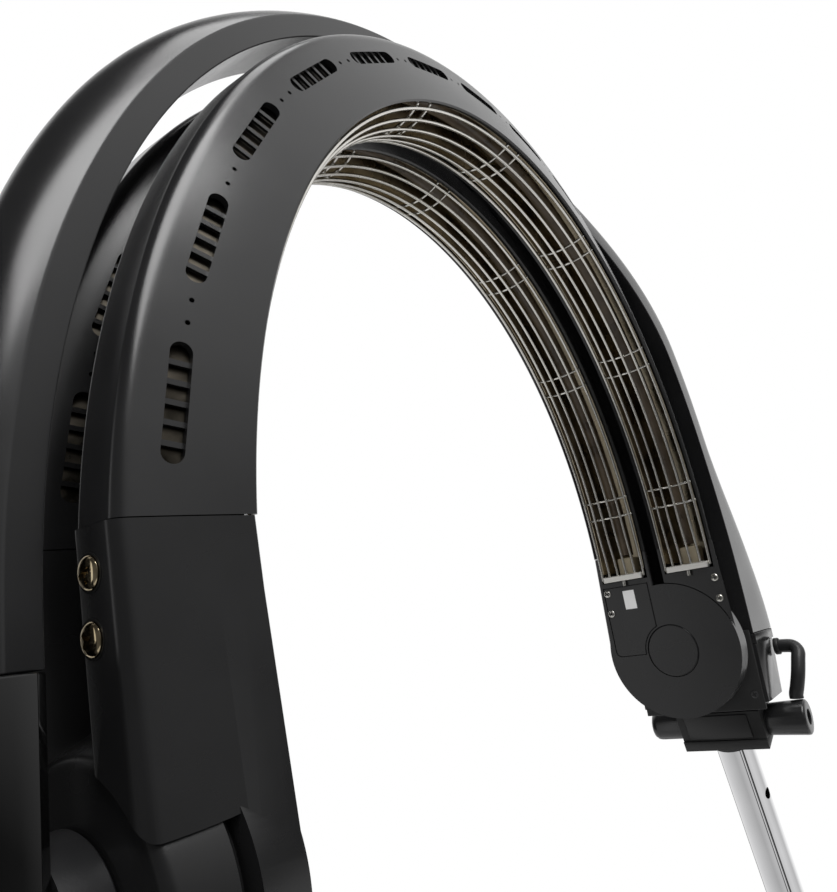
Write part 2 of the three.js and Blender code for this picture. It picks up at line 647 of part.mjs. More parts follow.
// Bore for the pivot pin
const pinBore = (x, z) => prism(
  circle([x, z], PIN_RADIUS + GAP, SMALL_SIDES), -BARREL_START, BARREL_START, alongY);

// Outline of the control housing in plan, with its outer corners cut
const controlOutline = (inset) => {
  const inner = -ROOT_INNER_X - inset;
  const outer = -ROOT_INNER_X - CONTROL_DEPTH + inset;
  const half = CONTROL_HALF_WIDTH - inset;
  return [
    [inner, -ARM_HALF_WIDTH + inset], [inner, ARM_HALF_WIDTH - inset], [inner - CONTROL_CHAMFER, half],
    [outer + CONTROL_CHAMFER, half], [outer, half - CONTROL_CHAMFER], [outer, -half + CONTROL_CHAMFER],
    [outer + CONTROL_CHAMFER, -half], [inner - CONTROL_CHAMFER, -half]];
};

const CONTROL_FACE_X = -ROOT_INNER_X - CONTROL_DEPTH;

// Hollow control housing, open on its outer face behind the panel
function controlHousing() {
  const body = solid(prism(controlOutline(0), CONTROL_LOW_Z, ARM_NEAR_Z - GAP, alongZ));
  const hollow = solid(box(
    [CONTROL_FACE_X - OVERCUT, -PANEL_HALF_WIDTH + CONTROL_WALL, PANEL_LOW_Z + CONTROL_WALL],
    [-ROOT_INNER_X - CONTROL_WALL, PANEL_HALF_WIDTH - CONTROL_WALL, PANEL_TOP_Z - CONTROL_WALL]));
  const seat = solid(box(
    [CONTROL_FACE_X - OVERCUT, -PANEL_HALF_WIDTH, PANEL_LOW_Z],
    [CONTROL_FACE_X + PANEL_THICK, PANEL_HALF_WIDTH, PANEL_TOP_Z]));
  return shape(cut(body, hollow, seat));
}

const buttonPlaces = BUTTON_ROWS.flatMap((z) => BUTTON_COLUMNS.map((y) => [y, z]));

function controlPanel() {
  const panel = solid(box(
    [CONTROL_FACE_X, -PANEL_HALF_WIDTH + GAP, PANEL_LOW_Z + GAP],
    [CONTROL_FACE_X + PANEL_THICK - GAP, PANEL_HALF_WIDTH - GAP, PANEL_TOP_Z - GAP]));
  const through = [CONTROL_FACE_X - OVERCUT, CONTROL_FACE_X + PANEL_THICK + OVERCUT];
  const holes = buttonPlaces.map(
    (place) => solid(prism(circle(place, BUTTON_RADIUS + GAP, SMALL_SIDES), ...through, alongX)));
  const pane = solid(box(
    [through[0], -WINDOW_HALF_WIDTH, WINDOW_LOW_Z], [through[1], WINDOW_HALF_WIDTH, WINDOW_TOP_Z]));
  return shape(cut(panel, pane, ...holes));
}

const displayWindow = () => box(
  [CONTROL_FACE_X, -WINDOW_HALF_WIDTH + GAP, WINDOW_LOW_Z + GAP],
  [CONTROL_FACE_X + PANEL_THICK, WINDOW_HALF_WIDTH - GAP, WINDOW_TOP_Z - GAP]);

const button = (place) => prism(
  circle(place, BUTTON_RADIUS, SMALL_SIDES),
  CONTROL_FACE_X - BUTTON_PROUD, CONTROL_FACE_X + PANEL_THICK, alongX);

function controlBoard() {
  const halfWidth = PANEL_HALF_WIDTH - CONTROL_WALL - BOARD_CLEAR;
  const front = CONTROL_FACE_X + BOARD_INSET;
  return box(
    [front, -halfWidth, PANEL_LOW_Z + CONTROL_WALL + BOARD_CLEAR],
    [front + BOARD_THICK, halfWidth, PANEL_TOP_Z - CONTROL_WALL - BOARD_CLEAR]);
}

// Tube of a round section along a smooth route
function cable() {
  const route = new THREE.CatmullRomCurve3(CABLE_ROUTE.map((point) => new THREE.Vector3(...point)));
  const round = circle([0, 0], CABLE_RADIUS, CABLE_SIDES).map((point) => new THREE.Vector2(...point));
  const options = { steps: CABLE_STEPS, bevelEnabled: false, extrudePath: route };
  return shape(solid(new THREE.ExtrudeGeometry(new THREE.Shape(round), options)));
}

// Ring round the cable where it leaves the root housing
function upperGland() {
  const [x, , z] = CABLE_ROUTE[0];
  const ring = solid(prism(circle([x, z], GLAND_RADIUS, SMALL_SIDES), GLAND_START_Y, GLAND_END_Y, alongY));
  const hole = circle([x, z], CABLE_RADIUS + GAP, SMALL_SIDES);
  return shape(cut(ring, solid(prism(hole, GLAND_START_Y - OVERCUT, GLAND_END_Y + OVERCUT, alongY))));
}

// Clevis block on the post, with the tongue's slot open at its top and back and a spigot in the tube
function pivotBlock() {
  const front = BLOCK_FRONT_X - LIP_PROUD;
  const outline = [
    [front, BLOCK_LOW_Z], [front, LIP_TOP_Z], [BLOCK_FRONT_X, LIP_TOP_Z], [BLOCK_FRONT_X, BLOCK_TOP_Z],
    ...arc([0, 0], BLOCK_ROUND, BLOCK_ROUND_FROM, BLOCK_ROUND_TO, ROUND_SIDES)];
  const body = solid(prism(outline, -BLOCK_HALF_WIDTH, BLOCK_HALF_WIDTH, alongY));
  const spigot = solid(prism(
    circle([0, 0], SPIGOT_RADIUS, FINE_SIDES), SPIGOT_LOW_Z, SLOT_LOW_Z, alongZ));
  const slotHalf = TONGUE_HALF_WIDTH + GAP;
  const past = BLOCK_ROUND + OVERCUT;
  const slot = solid(box([SLOT_FRONT_X, -slotHalf, SLOT_LOW_Z], [past, slotHalf, past]));
  return shape(cut(join(body, spigot), slot, solid(pinBore(0, 0))));
}

// Round barrel beside the pivot block, with a recess in its end
function crossBarrel(side, { start, finish, end, recess, depth }) {
  const profile = [
    [0, BARREL_START], [start, BARREL_START], [finish, end - BARREL_EDGE], [finish - BARREL_EDGE, end],
    [recess, end], [recess, end - depth], [0, end - depth]];
  return turned(profile, ROUND_SIDES).rotateX(-side * Math.PI / 2);
}

const pivotPin = () => prism(
  circle([0, 0], PIN_RADIUS, SMALL_SIDES), -BLOCK_HALF_WIDTH + GAP, BLOCK_HALF_WIDTH - GAP, alongY);

const ratingPlate = () => box(
  [BLOCK_FRONT_X - GAP - RATING_THICK, ...RATING_LOW], [BLOCK_FRONT_X - GAP, ...RATING_HIGH]);

// Open tube or ring about Z
const tube = (innerRadius, outerRadius, low, high, sides) => turned(
  [[innerRadius, low], [outerRadius, low], [outerRadius, high], [innerRadius, high], [innerRadius, low]],
  sides);

function heightCollar() {
  const inner = LOWER_TUBE_RADIUS + GAP;
  const shoulder = LOWER_TUBE_TOP + GAP;
  const profile = [
    [inner, CLAMP_LOW_Z], [CLAMP_RADIUS - CLAMP_EDGE, CLAMP_LOW_Z], [CLAMP_RADIUS, CLAMP_LOW_Z + CLAMP_EDGE],
    [CLAMP_RADIUS, CLAMP_TOP_Z - CLAMP_CHAMFER], [CLAMP_RADIUS - CLAMP_CHAMFER, CLAMP_TOP_Z],
    [POST_RADIUS + GAP, CLAMP_TOP_Z],
    [POST_RADIUS + GAP, shoulder], [inner, shoulder], [inner, CLAMP_LOW_Z]];
  return turned(profile, ROUND_SIDES);
}

// Lobed clamp knob on the side of the height collar away from the head
function lockKnob() {
  const start = CLAMP_RADIUS + GAP;
  const steps = KNOB_LOBES * KNOB_LOBE_STEPS;
  const outline = range(steps).map((step) => {
    const angle = 2 * Math.PI * step / steps;
    const radius = KNOB_RADIUS * (1 + KNOB_LOBE_SHARE * (Math.cos(KNOB_LOBES * angle) - 1));
    return [radius * Math.cos(angle), radius * Math.sin(angle)];
  });
  const grip = solid(prism(outline, start + KNOB_LENGTH * KNOB_GRIP_SHARE, start + KNOB_LENGTH, alongX));
  const stem = solid(rodX(KNOB_STEM_RADIUS, start, start + KNOB_LENGTH * KNOB_STEM_SHARE, SMALL_SIDES));
  return shape(join(stem, grip)).translate(0, 0, KNOB_Z);
}

// Five legs on a hub with a socket for the lower tube
function baseStar() {
  const hub = solid(turned(
    [[0, BASE_UNDER_Z], [BASE_HUB_RADIUS, BASE_UNDER_Z], [BASE_HUB_RADIUS, BASE_UNDER_Z + LEG_ROOT_HEIGHT],
      [BASE_HUB_NECK, BASE_HUB_TOP], [0, BASE_HUB_TOP]], HUB_SIDES));
  const legs = range(BASE_LEGS).map((leg) => {
    const ring = (reach, halfWidth, height) => [
      [-halfWidth, 0], [halfWidth, 0], [halfWidth, height * LEG_SHOULDER_SHARE],
      [halfWidth * LEG_TOP_SHARE, height], [-halfWidth * LEG_TOP_SHARE, height],
      [-halfWidth, height * LEG_SHOULDER_SHARE],
    ].map(([across, up]) => new THREE.Vector3(reach, across, BASE_UNDER_Z + up));
    const rings = [
      ring(LEG_START, LEG_ROOT_HALF_WIDTH, LEG_ROOT_HEIGHT),
      ring(BASE_RADIUS, LEG_TIP_HALF_WIDTH, LEG_TIP_HEIGHT),
      ring(
        BASE_RADIUS + LEG_TIP_HALF_WIDTH,
        LEG_TIP_HALF_WIDTH * LEG_TOP_SHARE, LEG_TIP_HEIGHT * LEG_END_SHARE)];
    const outline = rings[0].map((point) => [point.y, point.z]);
    return solid(loft(rings, outline).rotateZ(2 * Math.PI * leg / BASE_LEGS));
  });
  const socket = solid(prism(
    circle([0, 0], LOWER_TUBE_RADIUS + GAP, HUB_SIDES), BASE_SOCKET_Z, BASE_HUB_TOP + OVERCUT, alongZ));
  return shape(cut(join(hub, ...legs), socket));
}

// Caster fork: a round top plate with two cheeks that reach back to the wheel's axle
function casterFork() {
  const top = BASE_UNDER_Z - GAP;
  const plate = solid(prism(circle([0, 0], FORK_TOP_RADIUS, ROUND_SIDES), top - FORK_PLATE, top, alongZ));
  const cheekOutline = [
    [-FORK_TOP_RADIUS * FORK_ROOT_SHARE, top - FORK_LAP],
    [-CASTER_TRAIL - FORK_REACH * FORK_SIDE_SHARE, WHEEL_RADIUS],
    [-CASTER_TRAIL, WHEEL_RADIUS - FORK_REACH * FORK_LOW_SHARE],
    [-CASTER_TRAIL + FORK_REACH * FORK_SIDE_SHARE, WHEEL_RADIUS],
    [FORK_TOP_RADIUS * FORK_ROOT_SHARE, top - FORK_LAP]];
  const cheeks = [-1, 1].map((side) => {
    const faces = [side * FORK_HALF_WIDTH, side * (FORK_HALF_WIDTH - FORK_CHEEK)].sort((a, b) => a - b);
    return solid(prism(cheekOutline, ...faces, alongY));
  });
  return shape(join(plate, ...cheeks));
}

function casterWheel() {
  const profile = [
    [0, -WHEEL_HALF_WIDTH], [WHEEL_RADIUS - WHEEL_EDGE, -WHEEL_HALF_WIDTH],
    [WHEEL_RADIUS, -WHEEL_HALF_WIDTH + WHEEL_TREAD_EDGE], [WHEEL_RADIUS, WHEEL_HALF_WIDTH - WHEEL_TREAD_EDGE],
    [WHEEL_RADIUS - WHEEL_EDGE, WHEEL_HALF_WIDTH], [0, WHEEL_HALF_WIDTH]];
  return turned(profile, ROUND_SIDES).rotateX(Math.PI / 2).translate(-CASTER_TRAIL, 0, WHEEL_RADIUS);
}

function piece(name, geometry, finish) {
  const mesh = new THREE.Mesh(geometry, new THREE.MeshStandardMaterial(finish));
  mesh.name = name;
  return mesh;
}

// One arch in its rest place; the front one has its inner disc at the near end
function arch(name, side) {
  const group = new THREE.Group();
  const middleY = side * ARCH_MIDDLE_Y;
  group.add(piece(`${name}_shell`, archShell(middleY), BLACK_SATIN));
  group.add(piece(`${name}_reflector`, reflector(middleY), REFLECTOR_METAL));
  group.add(piece(`${name}_heater`, heater(middleY), QUARTZ));
  group.add(piece(`${name}_guard`, wireGuard(middleY), NICKEL));
  for (const [end, sign] of [['near', -1], ['far', 1]]) {
    const inner = sign === side;
    group.add(piece(`${name}_holder_${end}`, heaterHolder(middleY, sign), CERAMIC));
    const turn = sign < 0 ? Math.PI : 0;
    group.add(piece(`${name}_end_${end}`, endBlock(inner, side * sign, turn), BLACK_GLOSS));
    if (inner) {
      group.add(piece(`${name}_cover`, onHubs(coverPlate(side * sign), turn), BLACK_GLOSS));
    }
  }
  return group;
}

// Head, in its own frame: X from the near end to the far end, Z up through the arches' crowns
function head() {
  const group = new THREE.Group();
  group.add(arch('front', -1), arch('rear', 1));
  for (const [end, turn] of [['near', Math.PI], ['far', 0]]) {
    group.add(piece(`hub_axle_${end}`, hubAxle(turn), STEEL));
    group.add(piece(`hub_cap_${end}`, onHubs(hubCap(), turn), BLACK_GLOSS));
  }
  group.add(piece('carrying_arm', carryingArm(), BLACK_SATIN));
  group.add(piece('root_band', rootBand(), BLACK_GLOSS));
  group.add(piece('root_housing', rootHousing(), BLACK_SATIN));
  group.add(piece('root_plate', rootPlate(), BLACK_MATT));
  group.add(piece('tilt_tongue', tiltTongue(), BLACK_MATT));
  group.add(piece('control_housing', controlHousing(), BLACK_GLOSS));
  group.add(piece('control_panel', controlPanel(), BLACK_MATT));
  group.add(piece('display_window', displayWindow(), DARK_GLASS));
  group.add(piece('control_board', controlBoard(), BOARD_GREEN));
  buttonPlaces.forEach((place, index) => group.add(piece(BUTTON_NAMES[index], button(place), GREY_RUBBER)));
  group.add(piece('head_cable', cable(), BLACK_MATT));
  group.add(piece('cable_gland', upperGland(), BLACK_MATT));
  group.position.set(-TILT_X, 0, -TILT_Z);
  const tilted = new THREE.Group();
  tilted.add(group);
  tilted.rotation.y = radians(HEAD_TILT);
  return tilted;
}

// Tilt joint and post, with the tilt axis at the group's origin
function post() {
  const group = new THREE.Group();
  group.add(piece('pivot_block', pivotBlock(), BLACK_MATT));
  group.add(piece('pivot_pin', pivotPin(), STEEL));
  group.add(piece('barrel_front', crossBarrel(-1, FRONT_BARREL), BLACK_SATIN));
  group.add(piece('barrel_rear', crossBarrel(1, REAR_BARREL), BLACK_SATIN));
  group.add(piece('rating_plate', ratingPlate(), BLACK_MATT));
  const collar = tube(
    POST_RADIUS + GAP, COLLAR_RADIUS, COLLAR_TOP_Z - COLLAR_HEIGHT, COLLAR_TOP_Z, ROUND_SIDES);
  group.add(piece('post_collar', collar, BLACK_SATIN));
  const upper = tube(
    POST_RADIUS - POST_WALL, POST_RADIUS, POST_LOW_Z - TILT_HEIGHT, POST_TOP_Z, FINE_SIDES);
  group.add(piece('upper_tube', upper, CHROME));
  return group;
}

function stand() {
  const group = new THREE.Group();
  const lower = tube(
    POST_RADIUS + 2 * GAP, LOWER_TUBE_RADIUS, BASE_SOCKET_Z + GAP, LOWER_TUBE_TOP, HUB_SIDES);
  group.add(piece('lower_tube', lower, CHROME));
  group.add(piece('height_collar', heightCollar(), BLACK_SATIN));
  group.add(piece('lock_knob', lockKnob(), BLACK_MATT));
  group.add(piece('base_star', baseStar(), BLACK_SATIN));
  for (const leg of range(BASE_LEGS)) {
    const caster = new THREE.Group();
    caster.add(piece(`caster_fork_${leg + 1}`, casterFork(), BLACK_MATT));
    caster.add(piece(`caster_wheel_${leg + 1}`, casterWheel(), GREY_RUBBER));
    const angle = 2 * Math.PI * leg / BASE_LEGS;
    caster.position.set(BASE_RADIUS * Math.cos(angle), BASE_RADIUS * Math.sin(angle), 0);
    group.add(caster);
  }
  return group;
}

const unit = new THREE.Group();
const upperHalf = new THREE.Group();
upperHalf.add(head(), post());
upperHalf.position.z = TILT_HEIGHT;
unit.add(upperHalf, stand());

// The origin is the middle of the footprint box, on the floor
const extent = new THREE.Box3().setFromObject(unit, true);
const middle = extent.getCenter(new THREE.Vector3());
unit.position.set(-middle.x, -middle.y, -extent.min.z);

export default unit;
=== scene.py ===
"""Looks of the hair color processor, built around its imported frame.

Pieces of the head are written in millimetres in its own frame: X from the control end to the post, Z up
through the arches' crowns. The hubs have a frame of their own on their sloped axis. Pieces of the post are
written in millimetres from the tilt axis, and pieces of the stand in millimetres from the foot of the post.
"""
import json
import math

import bmesh
import bpy
from mathutils import Matrix, Vector


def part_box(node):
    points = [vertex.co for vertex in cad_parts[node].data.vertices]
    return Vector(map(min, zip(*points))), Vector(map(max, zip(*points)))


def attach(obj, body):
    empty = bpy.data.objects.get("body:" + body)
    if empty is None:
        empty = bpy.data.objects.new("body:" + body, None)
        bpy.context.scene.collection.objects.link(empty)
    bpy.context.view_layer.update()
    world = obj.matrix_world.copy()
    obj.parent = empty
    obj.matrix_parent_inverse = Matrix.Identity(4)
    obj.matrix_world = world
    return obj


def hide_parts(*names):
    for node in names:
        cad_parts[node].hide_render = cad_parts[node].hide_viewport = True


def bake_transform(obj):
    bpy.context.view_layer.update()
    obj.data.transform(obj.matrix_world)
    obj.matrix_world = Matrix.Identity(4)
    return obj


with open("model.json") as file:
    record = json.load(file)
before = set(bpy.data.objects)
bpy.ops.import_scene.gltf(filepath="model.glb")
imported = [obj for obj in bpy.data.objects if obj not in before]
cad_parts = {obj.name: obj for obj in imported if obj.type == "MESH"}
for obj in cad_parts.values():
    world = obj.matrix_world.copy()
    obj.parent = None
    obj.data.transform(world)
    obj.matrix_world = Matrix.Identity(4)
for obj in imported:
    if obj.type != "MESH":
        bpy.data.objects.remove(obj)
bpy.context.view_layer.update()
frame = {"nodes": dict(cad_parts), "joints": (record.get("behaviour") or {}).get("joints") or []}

MM = 0.001
JOINTS = {joint["name"]: joint for joint in frame["joints"]}
TILT = Vector(JOINTS["head_tilt"]["pos_m"])
HUB = Vector(JOINTS["front_swing"]["pos_m"])
HUB_X = Vector(JOINTS["front_swing"]["axis"]).normalized()
HUB_Y = Vector((0, 1, 0))
HUB_Z = HUB_X.cross(HUB_Y)
HEAD_TILT = 20.6
TILT_PLACE = Vector((270, 0, -56))

HEAD = (Matrix.Translation(TILT) @ Matrix.Rotation(math.radians(HEAD_TILT), 4, "Y") @ Matrix.Scale(MM, 4)
        @ Matrix.Translation(-TILT_PLACE))
HUBS = Matrix.Translation(HUB) @ Matrix((HUB_X, HUB_Y, HUB_Z)).transposed().to_4x4() @ Matrix.Scale(MM, 4)
POST = Matrix.Translation(TILT) @ Matrix.Scale(MM, 4)
STAND = Matrix.Translation((TILT.x, 0, 0)) @ Matrix.Scale(MM, 4)
STILL = Matrix.Identity(4)
HALF_TURN = Matrix.Rotation(math.pi, 4, "Z")
Z_TO_X = Matrix.Rotation(math.pi / 2, 4, "Y")
Z_TO_Y = Matrix.Rotation(-math.pi / 2, 4, "X")

# Camera, in the head's frame, and its focal length in pixels of the 837 by 892 picture
CAMERA_PLACE = (-324.54, -186.14, 30.35)
CAMERA_RIGHT = (0.59479, -0.79194, -0.13808)
CAMERA_AHEAD = (0.79635, 0.55699, 0.23579)
FOCAL_PIXELS = 785.89
PICTURE_HEIGHT = 892
SENSOR = 36
NEAREST_SEEN = 0.01

# What reflections show round the unit and on the floor, from the turn about Z as a share of one turn, to a
# brightness: white ahead of the camera, a soft lamp and a dark room behind it
LOW_BANDS = ((0.0, 0.12), (0.1, 0.1), (0.16, 0.04), (0.24, 0.3), (0.28, 0.25), (0.31, 0.05), (0.36, 0.1),
             (0.42, 0.7), (0.46, 1.0), (0.7, 1.0), (0.78, 0.03), (0.89, 0.03), (0.925, 1.0), (0.94, 1.0),
             (0.955, 0.2), (1.0, 0.12))
HIGH_BANDS = ((0.0, 0.1), (0.16, 0.1), (0.22, 0.5), (0.28, 0.7), (0.32, 0.9), (0.7, 1.0), (0.78, 0.03),
              (0.89, 0.03), (0.925, 1.0), (0.94, 1.0), (0.955, 0.15), (1.0, 0.1))
FLOOR_BANDS = ((0.0, 0.5), (0.07, 0.6), (0.1, 0.62), (0.108, 0.08), (0.118, 0.06), (0.124, 0.75),
               (0.136, 0.85), (0.142, 0.12), (0.15, 0.3), (0.156, 0.03), (0.172, 0.03), (0.18, 0.7),
               (0.25, 0.78), (0.36, 0.6), (0.44, 1.0), (0.54, 1.0), (0.575, 0.2), (0.61, 0.2), (0.64, 0.9),
               (1.0, 0.5))

# Heights on a unit ball where the high bands and then the dark overhead come in
HIGH_REACH = (-0.1, 0.4)
OVERHEAD_REACH = (0.65, 0.85)
OVERHEAD_LEVEL = 0.048

# Light on matt surfaces, from the ground colour to the sky colour over a reach of heights
GROUND_LIGHT = (0.5, 0.5, 0.51)
SKY_LIGHT = (1, 1, 1)
SKY_REACH = (0, 0.7)
SKY_STRENGTH = 0.7

# Lamps: place in metres, height in the head that they point at, size in metres, watts
LAMPS = (("key", (-0.06, -1.0, 2.78), 150, (1.2, 0.7), 18),
         ("top", (0.65, -0.3, 3.05), 200, (0.8, 0.5), 4))

# Floor, in metres; the shadow fades to plain white over its reach
FLOOR_CORNERS = ((-2.6, -2.6), (6.0, 6.0))
FLOOR_SHADOW_REACH = (0.45, 0.9)
FLOOR_DARK = (0.80, 0.80, 0.80)
FLOOR_LIGHT = (0.84, 0.84, 0.84)
FLOOR_PATCHES = 3
FLOOR_ROUGH = 0.9

# Shaders: the middle of a noise's range, a clear coat's roughness and the grain's height in metres
NOISE_MIDDLE = (0.3, 0.7)
COAT_ROUGH = 0.12
GRAIN_HEIGHT = 0.0001

# Arch line and shell section; a section's points are the offset from the arch line and the half width
HALF_SPAN = 190
ARCH_RISE = 216.8
ARCH_CENTRE_Z = 48.85
ARCH_MIDDLE_Y = 22.05
ARCH_RINGS = 150
SMALL_TURN = 0.001
SEAM_Z = 66
SEAM_GAP = 0.35
MOUTH_FLOOR_Z = 48.5
SHELL_LIP = (0.0, 17.7)
SHELL_FOOT = (0.7, 18.3)
SHELL_SHOULDER = ((29.2, 9.8), (33.6, 8.5), (34.0, 5.6))
SHELL_BELLY = 0.3
SIDE_STEPS = 10
SHOULDER_STEPS = 8
SHELL_DEPTH = 34
SHELL_WALL = 2.2
INSIDE_HALF_MOUTH = 18.5
INSIDE_LEAN = 0.3
INSIDE_SHOULDER = (29, 9.8)
INSIDE_HALF_CROWN = 6.5
MOUTH_EDGE = 0.4

# Vents
VENT_LENGTH = 33
VENT_WIDTH = 6
VENT_OFFSET = 21.1
VENT_WALL_Y = 12.2
VENT_COUNT = 13
VENT_FIRST_TURN = 11.13
VENT_PITCH_TURN = 12.625
VENT_LEAN = 0.3
VENT_CUT = 6
VENT_END_STEPS = 10
RIB_COUNT = 5
RIB_THICK = 1.5
RIB_DEPTH = 1.0
RIB_SINK = 1.2
RIB_OVERLAP = 0.4
DOT_RADIUS = 0.75
DOT_SPREAD = 6.5
DOT_SIDES = 14

# Reflector and heater: each sheet's label, look, and the depths of its faces below the shell's outside
# The back sheet's near-black look is painted shade behind the vents
REFLECTOR_SHEETS = (("shaded_back", "shaded_back", 2.85, 3.15), ("sheet", "reflector", 3.25, 3.6))
REFLECTOR_EDGE = 2
REFLECTOR_FLOOR_Z = 55
HEATER_OFFSET = 15
HEATER_RADIUS = 4.4
HEATER_SIDES = 16

# Guard
WIRE_RADIUS = 0.85
WIRE_SIDES = 8
WIRE_PLACES = (3, 9, 14.5)
WIRE_STEPS = 110
WIRE_FLOOR_Z = MOUTH_FLOOR_Z + 2
WIRE_DIP = 0.05
WIRE_END_BULGE = 0.25
GUARD_BULGE = 5
GUARD_HALF_WIDTH = 17
CROSS_RADIUS = 0.75
CROSS_TURNS = (19, 44, 68, 93, 118, 142, 167)
CROSS_HALF_PAIR = 1.6
CROSS_HALF_WIDTH = 15.2
CROSS_END_OFFSET = 2.2
CROSS_DROP = WIRE_RADIUS + 0.7
CROSS_STEPS = 14
BAR_SIZE = (5, 27.5, 4)
BAR_X = HALF_SPAN - 2.5
BAR_Z = MOUTH_FLOOR_Z + 0.3
BAR_EDGE = 0.7
STUD_X = 189.3
STUD = ((0.2, -3.4), (1.2, -3.2), (1.3, -2.6), (1.3, 0.1), (0.2, 0.1))

# Hubs and end blocks; profiles about the hub axis are points of radius and X
OVERCUT = 5
CLEAR = 0.6
DISC_RADIUS = 42.7
DISC_BACK_X = 203.7
DISC_SIDES = 128
GROOVE_X = 204.3
GROOVE_RADIUS = 37
DRUM_X = 206.8
DRUM_RADIUS = 40
DRUM_TAPER = 0.34
DRUM_CLEAR = 1
DRUM_RIM = ((DRUM_RADIUS - 0.6, DRUM_X), (DRUM_RADIUS, DRUM_X + 0.5))
DRUM_ROUNDING = ((219, 0), (220.6, 0.3), (221.6, 1.2), (222, 2.4))
BEHIND_X = 226
BORE_RADIUS = 6.3
FLANGE_X = 222.3
FLANGE_RADIUS = 20
PLATE_ROOM_RADIUS = 44
LEG_RINGS = ((0, 1.116), (66, 1), (100, 1))
MOUTH_CUT_HALF = 18
ABOVE_CORNERS = ((-300, -90), (300, 90))
ABOVE_TOP_Z = 200
BLOCK_EDGE = 0.7
AXLE = ((6, 195), (6, 222.2), (FLANGE_RADIUS - 0.6, 222.4), (FLANGE_RADIUS, 223), (FLANGE_RADIUS, 236))
AXLE_END_X = 230.7
PAST_X = 300
PAST_CORNERS = ((-90, -120), (90, 90))

# Cap and cover of a hub; the cap's rim is given as insets from its radius and depths
CAP_RADIUS = 16.4
CAP_RIM = ((0, 4), (0, 0.5), (0.15, 0.2), (0.5, 0.0), (0.8, -0.02), (1, -0.02), (15.9, -0.02))
CAP_GAP = 0.3
CAP_SEAT_DEPTH = 4.3
COVER_TOP_Z = 45
COVER_LOW_Z = -0.5
COVER_INNER_Y = 7.3
COVER_OUTER_Y = 38.5
COVER_CORNER = 4
COVER_CAP_MARGIN = 1.6
COVER_GAP = 0.35
COVER_PROUD = 0.1
COVER_DEPTH = 2
COVER_SEAT_DEPTH = 2.3
COVER_EDGE = 0.45

# Screws: the dome's points and the recess's half sizes are shares of the radius; places are the distance
# across and the height, and spins are in radians
SCREW_DOME = ((1, 0.3), (0.94, 0.57), (0.8, 0.78), (0.55, 0.93), (0.15, 1))
SCREW_RECESS = (0.62, 0.17)
SCREW_SINK = 0.4
RECESS_FLOOR = -0.2
PAN_RISE = 0.6
SCREW_RADIUS = 2.4
FIRST_SPIN = 0.5
SPIN_STEP = 0.6
COVER_SCREWS = ((36.0, 41.5), (36.0, 28.1))
PLAIN_SCREWS = ((37.0, 41.7), (37.0, 28.7))
CROWN_SCREWS = ((20.5, 75.4, 0.35), (19.5, 60.6, 0.85))
CROWN_RADIUS = 4.0
CROWN_RISE = 0.36
CROWN_X = -HALF_SPAN - SHELL_DEPTH - 0.05
CROWN_SEAT = ((4.7, -0.3), (4.7, 0.12), (4.2, 0.12), (4.2, -0.3))
ROOT_SCREW_PLACE = (223.1, -34.6, -36.4)
ROOT_SCREW_RISE = 0.12
ROOT_SCREW_SPIN = 0.4
LABEL_CORNERS = ((17.3, 29.7), (25.3, 42.0))
LABEL_THICK = 0.2
LABEL_EDGE = 0.08

# Carrying arm: ridge offsets at the near end, the crown and the far end, reaches of turn in degrees, and the
# broad sections as offsets and half widths at the shoulder and at the outer side
ARM_INNER = 41
ARM_SHOULDER = 50
ARM_RIDGES = (62.5, 53, 57)
ARM_RIDGE_FALL = (20, 85)
ARM_RIDGE_CLIMB = (95, 130)
ARM_WIDENING = (98, 147)
ARM_HALF = 14
ARM_CREASE = 30
ARM_WIDE = ((51, 60), (39.5, 36))
ARM_ROOT = ((72, 97), (42, 39.5))
ARM_CORNER = 0.6
ARM_MIDDLE = 60
ARM_NEAR_LEVELS = (35, 42)
ARM_STEPS = 10
ARM_RINGS = 150
ARM_FOOT_RINGS = 8
ARM_SHARP = 20
ARM_EDGE = 1.6
ARM_EDGE_STEPS = 3
ROOT_RISE = 140
BAND_HEIGHT = 7

# Head cable; it bends from the third point of its route to the last
CABLE_RADIUS = 4.5
CABLE_ROUTE = ((280.5, -41.4, -9.5), (280.5, -47, -9.6), (280, -53, -10.5), (278, -56, -14),
               (274.5, -55.8, -19), (271, -54.3, -28), (270, -52, -36), (270, -50.2, -41), (270, -50, -43.8))
CABLE_STEPS = 10
CABLE_SIDES = 28

# Post and stand: profiles are points of radius and of distance along the axis
BARREL_FRONT = ((10.5, 28.8), (11.5, 53), (11.2, 54.2), (10.4, 54.8), (9.6, 55), (5.4, 55), (5, 54.6),
                (5, 45.2), (1, 45))
BARREL_REAR = ((10.3, 28.8), (10.3, 47.6), (9.9, 49.8), (8.7, 51.4), (6.6, 52), (1, 52))
POST_COLLAR = ((12.8, -15.3), (14.7, -15.3), (15, -15), (15, -12.9), (14.7, -12.6), (12.8, -12.6))
UPPER_TUBE = ((11, -800), (12.5, -800), (12.5, -12.3), (11, -12.3))
LOWER_TUBE = ((13.1, 74.3), (16, 74.3), (16, 638.8), (14.8, 640), (13.1, 640))
HEIGHT_COLLAR = ((16.3, 606), (22, 606), (23.4, 606.6), (24, 608), (24, 655), (23.2, 658), (21, 660.5),
                 (18, 662), (12.8, 662), (12.8, 640.3), (16.3, 640.3))
WHEEL_HALF = ((25, 4.5), (24.2, 7.2), (22.2, 9), (20, 9), (19, 8), (17, 8), (16, 9), (6, 9))
CASTERS = range(1, 6)
POLE_HOLE_Z = -54.5
POLE_HOLE_TURN = -99
POLE_HOLE_RADIUS = 3.8
POLE_HOLE_REACH = (6, 16)

